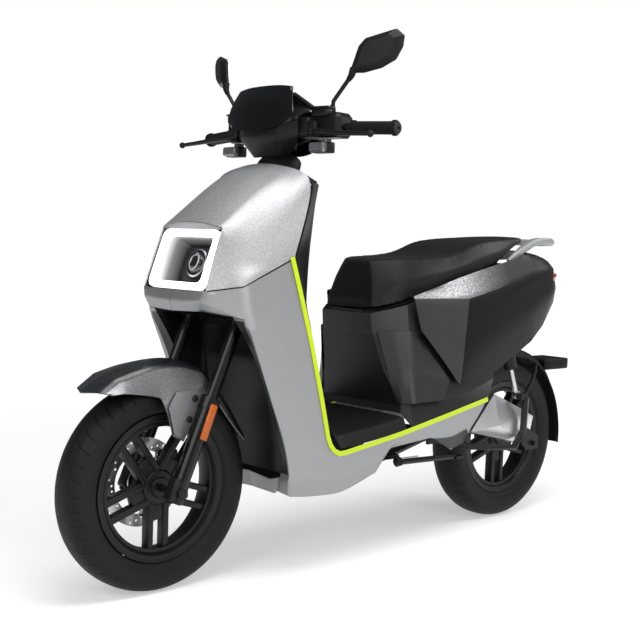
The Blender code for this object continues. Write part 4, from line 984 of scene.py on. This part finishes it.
def steeringCollar():
    collar = spun("steeringCollar", [(0.0180, 0.026), (0.0470, 0.026), (0.0500, 0.022), (0.0520, 0.004),
                                     (0.0580, -0.012), (0.0600, -0.026), (0.0180, -0.026)], 72)
    turnedTo(collar, forkUp, neck, (0, 1, 0))
    settle(collar, "steering", "black_plastic", "mattBlack")


def masterCylinder(word, sign, yaw):
    x, y = barLook["tank"]
    tank = boxPiece("tank", (0.034, 0.050, 0.022), (x, sign * y, 1.186), yaw, 0.005, 3)
    lid = boxPiece("lid", (0.038, 0.054, 0.005), (x, sign * y, 1.1975), yaw, 0.0015)
    clamp = boxPiece("clamp", (0.022, 0.030, 0.030), (0.3505, sign * 0.150, 1.150), yaw, 0.004, 3)
    screws = [cylinder("screw", 0.0028, 0.004, (x, sign * screwY, 1.200), (0, 0, 1), 12, 0.0004)
              for screwY in barLook["screws"]]
    assembled([tank, lid, clamp] + screws, f"masterCylinder{word}", 35, "steering", "black_plastic",
              "satinBlack")


def mirrorBoots(word, side, sign):
    # the rubber at both ends of a mirror's stem
    foot = [(0.320, sign * 0.185, z) for z in (1.183, 1.190, 1.197, 1.205)]
    boot = tubeAlong(f"stemBoot{word}", foot, 0.0078, (1.25, 1.2, 1.0, 0.8))
    settle(boot, "steering", "black_steel", "mattBlack")
    top = [(0.3185, sign * 0.2365, 1.2625), (0.3172, sign * 0.245, 1.2715), (0.3160, sign * 0.2475, 1.281),
           (0.3145, sign * 0.249, 1.291)]
    cup = tubeAlong(f"mirrorBoot{word}", top, 0.0085, (0.75, 0.95, 1.1, 1.0))
    settle(cup, f"mirror_{side}", "black_plastic", "mattBlack")


def barEnd(word, sign):
    gripInner, gripOuter = (Vector((x, sign * y, z)) for x, y, z in barLook["grip"])
    outward = (gripOuter - gripInner).normalized()
    end = spun(f"barEnd{word}", [(0.0165, 0.0045), (0.0165, -0.0010), (0.0130, -0.0045), (0.0040, -0.0045),
                                 (0.0040, 0.0045)], 36)
    turnedTo(end, outward, gripInner + outward * barLook["endReach"], (0, -1, 0))
    settle(end, "steering", "black_steel", "castBlack")


barLook = {"yaw": 8, "tank": (0.337, 0.168), "screws": (0.150, 0.186), "endReach": 0.1525,
           "grip": ((0.300, 0.215, 1.150), (0.277, 0.353, 1.1453))}


def handlebarDetails():
    steeringCollar()
    for word, side, sign in sides:
        yaw = Matrix.Rotation(sign * math.radians(barLook["yaw"]), 3, "Z")
        sleeve = boxPiece(f"barSleeve{word}", (0.078, 0.044, 0.052), (0.322, sign * 0.114, 1.150), yaw,
                          0.012, 4)
        settle(sleeve, "steering", "black_plastic", "satinBlack")
        masterCylinder(word, sign, yaw)
        mirrorBoots(word, side, sign)
        mirrorGlassFor(word, side, sign)
        back = boxPiece(f"signalBack{word}", (0.030, 0.0575, 0.0275), (0.3345, sign * 0.172, 1.0995),
                        None, 0.004, 3)
        settle(back, "steering", "black_plastic", "satinBlack")
        barEnd(word, sign)
    print("handlebar details done")


mirrorLook = {"yawLeft": 20, "yawRight": 27, "facing": -0.97, "border": 0.007, "thick": 0.0018}


def mirrorGlassFor(word, side, sign):
    # the head's rear face, inset from its edge and given a wall
    yaw = math.radians(mirrorLook[f"yaw{word}"])
    ahead = Vector((math.cos(yaw), sign * math.sin(yaw), 0))
    piece = flatCopy(f"mirror_head_{side}", f"mirrorGlass{word}")
    enterEdit(piece)
    selectFaces(piece, lambda middle, normal: normal.dot(ahead) > mirrorLook["facing"])
    bpy.ops.mesh.delete(type="FACE")
    bpy.ops.mesh.select_all(action="SELECT")
    bpy.ops.mesh.inset(thickness=mirrorLook["border"])
    bpy.ops.mesh.select_all(action="INVERT")
    bpy.ops.mesh.delete(type="FACE")
    leaveEdit()
    applyModifier(piece, "wall", "SOLIDIFY", {"thickness": mirrorLook["thick"], "offset": 1})
    smooth(piece, 30)
    settle(piece, f"mirror_{side}", "mirror_glass", "mirrorGlass")


forkLook = {"plateY": 0.0835, "bolts": ((0.646, 0.480), (0.662, 0.430)), "reflectorY": 0.1235,
            "backIn": 0.0045, "footY": 0.098}


def forkDetails():
    outline = [(0.700, 0.498), (0.722, 0.462), (0.704, 0.396), (0.676, 0.378), (0.640, 0.440),
               (0.622, 0.492), (0.655, 0.502)]
    for word, side, sign in sides:
        y = sign * forkLook["plateY"]
        plate = plateThrough(f"forkPlate{word}", [[Vector((x, y, z)) for x, z in outline]], 0.003, 0.001)
        settle(plate, "fork_lower", "satin_black_paint", "plateGrey")
        bolts = []
        for x, z in forkLook["bolts"]:
            bolts.append(cylinder("bolt", 0.0085, 0.0034, (x, y + sign * 0.0022, z), (0, 1, 0), 28, 0.0010))
            bolts.append(cylinder("socket", 0.0040, 0.0050, (x, y + sign * 0.0026, z), (0, 1, 0), 6,
                                  0.0006))
        assembled(bolts, f"plateBolts{word}", 35, "fork_lower", "black_steel", "castBlack")
        low = Vector((0.6490, sign * forkLook["reflectorY"], 0.383))
        high = Vector((0.6160, sign * forkLook["reflectorY"], 0.467))
        middle = (low + high) / 2
        pill = boxPiece(f"sideReflector{word}", (0.021, 0.007, (high - low).length), (0, 0, 0), None,
                        0.0034, 4)
        turnedTo(pill, high - low, middle)
        settle(pill, "fork_lower", "amber_reflector", "amberReflector")
        back = boxPiece(f"reflectorBack{word}", (0.014, 0.006, 0.070), (0, 0, 0), None, 0.001)
        turnedTo(back, high - low, middle - Vector((0, sign * forkLook["backIn"], 0)))
        settle(back, "fork_lower", "black_plastic", "mattBlack")
        foot = frontAxle + Vector((0, sign * forkLook["footY"], 0))
        block = boxPiece("foot", (0.046, 0.034, 0.060), foot + Vector((0.002, 0, 0.004)),
                         Matrix.Rotation(-rake, 3, "Y"), 0.008, 3)
        nut = cylinder("nut", 0.0150, 0.010, foot + Vector((0, sign * 0.0215, 0)), (0, 1, 0), 6, 0.0015)
        pinch = cylinder("pinch", 0.0048, 0.036, foot + Vector((0.014, 0, -0.020)), (1, 0, 0), 6, 0.0008)
        assembled([block, nut, pinch], f"forkFoot{word}", 35, "fork_lower", "black_steel", "castBlack")
    print("fork details done")


standSpringLook = {"front": (-0.030, 0.128, 0.262), "rear": (-0.120, 0.133, 0.262), "radius": 0.0055,
                   "turns": 14, "wire": 0.0012}


def tailDetails():
    for word, side, sign in sides:
        lean = Matrix.Rotation(sign * math.radians(24), 3, "Z")
        lamp = boxPiece(f"sideMarker{word}", (0.046, 0.006, 0.022), (-0.737, sign * 0.1335, 0.783), lean,
                        0.002)
        settle(lamp, "chassis", "red_lens", "redLens")
    coil = springPath(standSpringLook)
    spring = tubeAlong("standSpring", coil, standSpringLook["wire"], None, 3, 2)
    settle(spring, "chassis", "steel", "steelGrey")
    print("tail details done")


def springPath(look):
    # a helix between two points, eight points to a turn
    start = Vector(look["front"])
    end = Vector(look["rear"])
    ahead = (end - start).normalized()
    side = ahead.cross(Vector((0, 0, 1))).normalized() * look["radius"]
    up = side.cross(ahead)
    count = look["turns"] * 8
    made = []
    for step in range(count + 1):
        angle = step * math.pi / 4
        made.append(tuple(start.lerp(end, step / count) + side * math.cos(angle) + up * math.sin(angle)))
    return made


seatLook = {"shrink": 0.0022, "voxel": 0.005, "pressure": 4.0, "cap": 0.003, "frames": 20, "settle": 5,
            "crease": 0.75, "creaseFrom": 24, "restsBelow": -0.4}


def puffed(piece):
    # cloth under pressure, each point held to the cap, and nothing moved where the cushion rests
    flat = [vertex.co.copy() for vertex in piece.data.vertices]
    facing = [vertex.normal.copy() for vertex in piece.data.vertices]
    activate(piece)
    cloth = piece.modifiers.new("cloth", "CLOTH")
    cloth.settings.use_pressure = True
    cloth.settings.uniform_pressure_force = seatLook["pressure"]
    cloth.settings.tension_stiffness = 18
    cloth.settings.compression_stiffness = 18
    cloth.settings.bending_stiffness = 4
    cloth.settings.effector_weights.gravity = 0
    cloth.point_cache.frame_start = 1
    cloth.point_cache.frame_end = seatLook["frames"]
    for step in range(1, seatLook["frames"] + 1):
        bpy.context.scene.frame_set(step)
    bpy.ops.object.modifier_apply(modifier="cloth")
    bpy.context.scene.frame_set(1)
    for vertex, start, out in zip(piece.data.vertices, flat, facing):
        move = vertex.co - start
        if move.length > seatLook["cap"]:
            move = move.normalized() * seatLook["cap"]
        vertex.co = start if out.z < seatLook["restsBelow"] else start + move


def seatCushion():
    piece = curvedCopy("seat_cushion", "seatCushion", seatLook["crease"], seatLook["creaseFrom"])
    enterEdit(piece)
    bpy.ops.mesh.select_all(action="SELECT")
    bpy.ops.transform.shrink_fatten(value=-seatLook["shrink"])
    leaveEdit()
    applyModifier(piece, "grid", "REMESH", {"mode": "VOXEL", "voxel_size": seatLook["voxel"]})
    puffed(piece)
    applyModifier(piece, "settle", "SMOOTH", {"factor": 0.5, "iterations": seatLook["settle"]})
    applyModifier(piece, "soft", "SUBSURF", {"levels": 1, "render_levels": 1})
    smooth(piece, 80)
    settle(piece, "seat", "seat_leather", "seatVinyl", "seat_cushion")
    print("seat cushion done")


cameraLook = {"target": Vector((0.0995, 0, 0.55)), "azimuth": 45.861, "elevation": 5.722, "distance": 3.125,
              "lens": 62.88, "roll": 2.137, "shiftX": -0.0235, "shiftY": 0.0576}


def placeCamera():
    azimuth = math.radians(cameraLook["azimuth"])
    elevation = math.radians(cameraLook["elevation"])
    roll = math.radians(cameraLook["roll"])
    back = Vector((math.cos(azimuth) * math.cos(elevation), math.sin(azimuth) * math.cos(elevation),
                   math.sin(elevation)))
    right = Vector((0, 0, 1)).cross(back).normalized()
    up = back.cross(right)
    turnedRight = right * math.cos(roll) + up * math.sin(roll)
    turnedUp = up * math.cos(roll) - right * math.sin(roll)
    bpy.ops.object.camera_add(location=cameraLook["target"] + back * cameraLook["distance"])
    camera = bpy.context.object
    camera.rotation_euler = Matrix((turnedRight, turnedUp, back)).transposed().to_euler()
    camera.data.lens = cameraLook["lens"]
    camera.data.sensor_width = 36
    camera.data.shift_x = cameraLook["shiftX"]
    camera.data.shift_y = cameraLook["shiftY"]
    bpy.context.scene.camera = camera


def softLight(name, spot, aim, size, power):
    bpy.ops.object.light_add(type="AREA", location=spot)
    lamp = bpy.context.object
    lamp.name = name
    lamp.rotation_euler = (Vector(aim) - Vector(spot)).to_track_quat("-Z", "Y").to_euler()
    lamp.data.shape = "RECTANGLE"
    lamp.data.size = size[0]
    lamp.data.size_y = size[1]
    lamp.data.energy = power


# each light's place, where it points, its size and its power
lightLook = {
    "topLight": ((0.5, 0.9, 3.4), (0.1, 0, 0.6), (2.4, 1.8), 80),
    "frontLight": ((3.4, 0.9, 2.2), (0.4, 0, 0.8), (1.8, 1.6), 34),
    "sideLight": ((0.6, 3.8, 1.7), (0, 0, 0.5), (2.6, 1.5), 52),
    "rearLight": ((-3.0, 1.4, 2.4), (-0.3, 0, 0.7), (1.6, 1.2), 45),
}


def studio():
    bpy.ops.object.select_all(action="DESELECT")
    bpy.ops.mesh.primitive_circle_add(vertices=96, radius=40, fill_type="NGON", location=(0, 0, 0))
    floor = bpy.context.object
    floor.name = "studioFloor"
    graph = Graph("paleFloor")
    grain = graph.noise(3.0)
    graph.set(Base_Color=graph.blend(grain, (0.78, 0.78, 0.78, 1), (0.82, 0.82, 0.82, 1)), Roughness=0.9)
    away = graph.node("ShaderNodeVectorMath", {"operation": "LENGTH"}, {0: graph.place}, "Value")
    # painted light: the floor glows, dimmer near the middle and bright far out
    graph.set(Emission_Color=graph.ramp(away * 0.1, [(0.12, 0.42), (0.30, 0.72), (0.55, 1.0)]))
    graph.set(Emission_Strength=1.0, Specular_IOR_Level=0.0)
    floor.data.materials.append(graph.material)
    floor.visible_diffuse = False
    for name, (spot, aim, size, power) in lightLook.items():
        softLight(name, spot, aim, size, power)
    world = bpy.data.worlds.new("studioWorld")
    world.use_nodes = True
    tree = world.node_tree
    sky = tree.nodes["Background"]
    sky.inputs["Color"].default_value = (0.92, 0.96, 1.0, 1)
    sky.inputs["Strength"].default_value = 0.12
    backdrop = tree.nodes.new("ShaderNodeBackground")
    backdrop.inputs["Color"].default_value = (1, 1, 1, 1)
    rays = tree.nodes.new("ShaderNodeLightPath")
    choice = tree.nodes.new("ShaderNodeMixShader")
    tree.links.new(rays.outputs["Is Camera Ray"], choice.inputs[0])
    tree.links.new(sky.outputs[0], choice.inputs[1])
    tree.links.new(backdrop.outputs[0], choice.inputs[2])
    tree.links.new(choice.outputs[0], tree.nodes["World Output"].inputs["Surface"])
    bpy.context.scene.world = world
    bpy.context.scene.view_settings.view_transform = "Standard"
    placeCamera()
    print("studio done")


bodywork()
carriedNodes()
plainCopies()
wheels()
headlight()
splashSill()
cowlDeck()
yellowStrips()
grabRail()
levers()
handlebarDetails()
forkDetails()
tailDetails()
seatCushion()
studio()
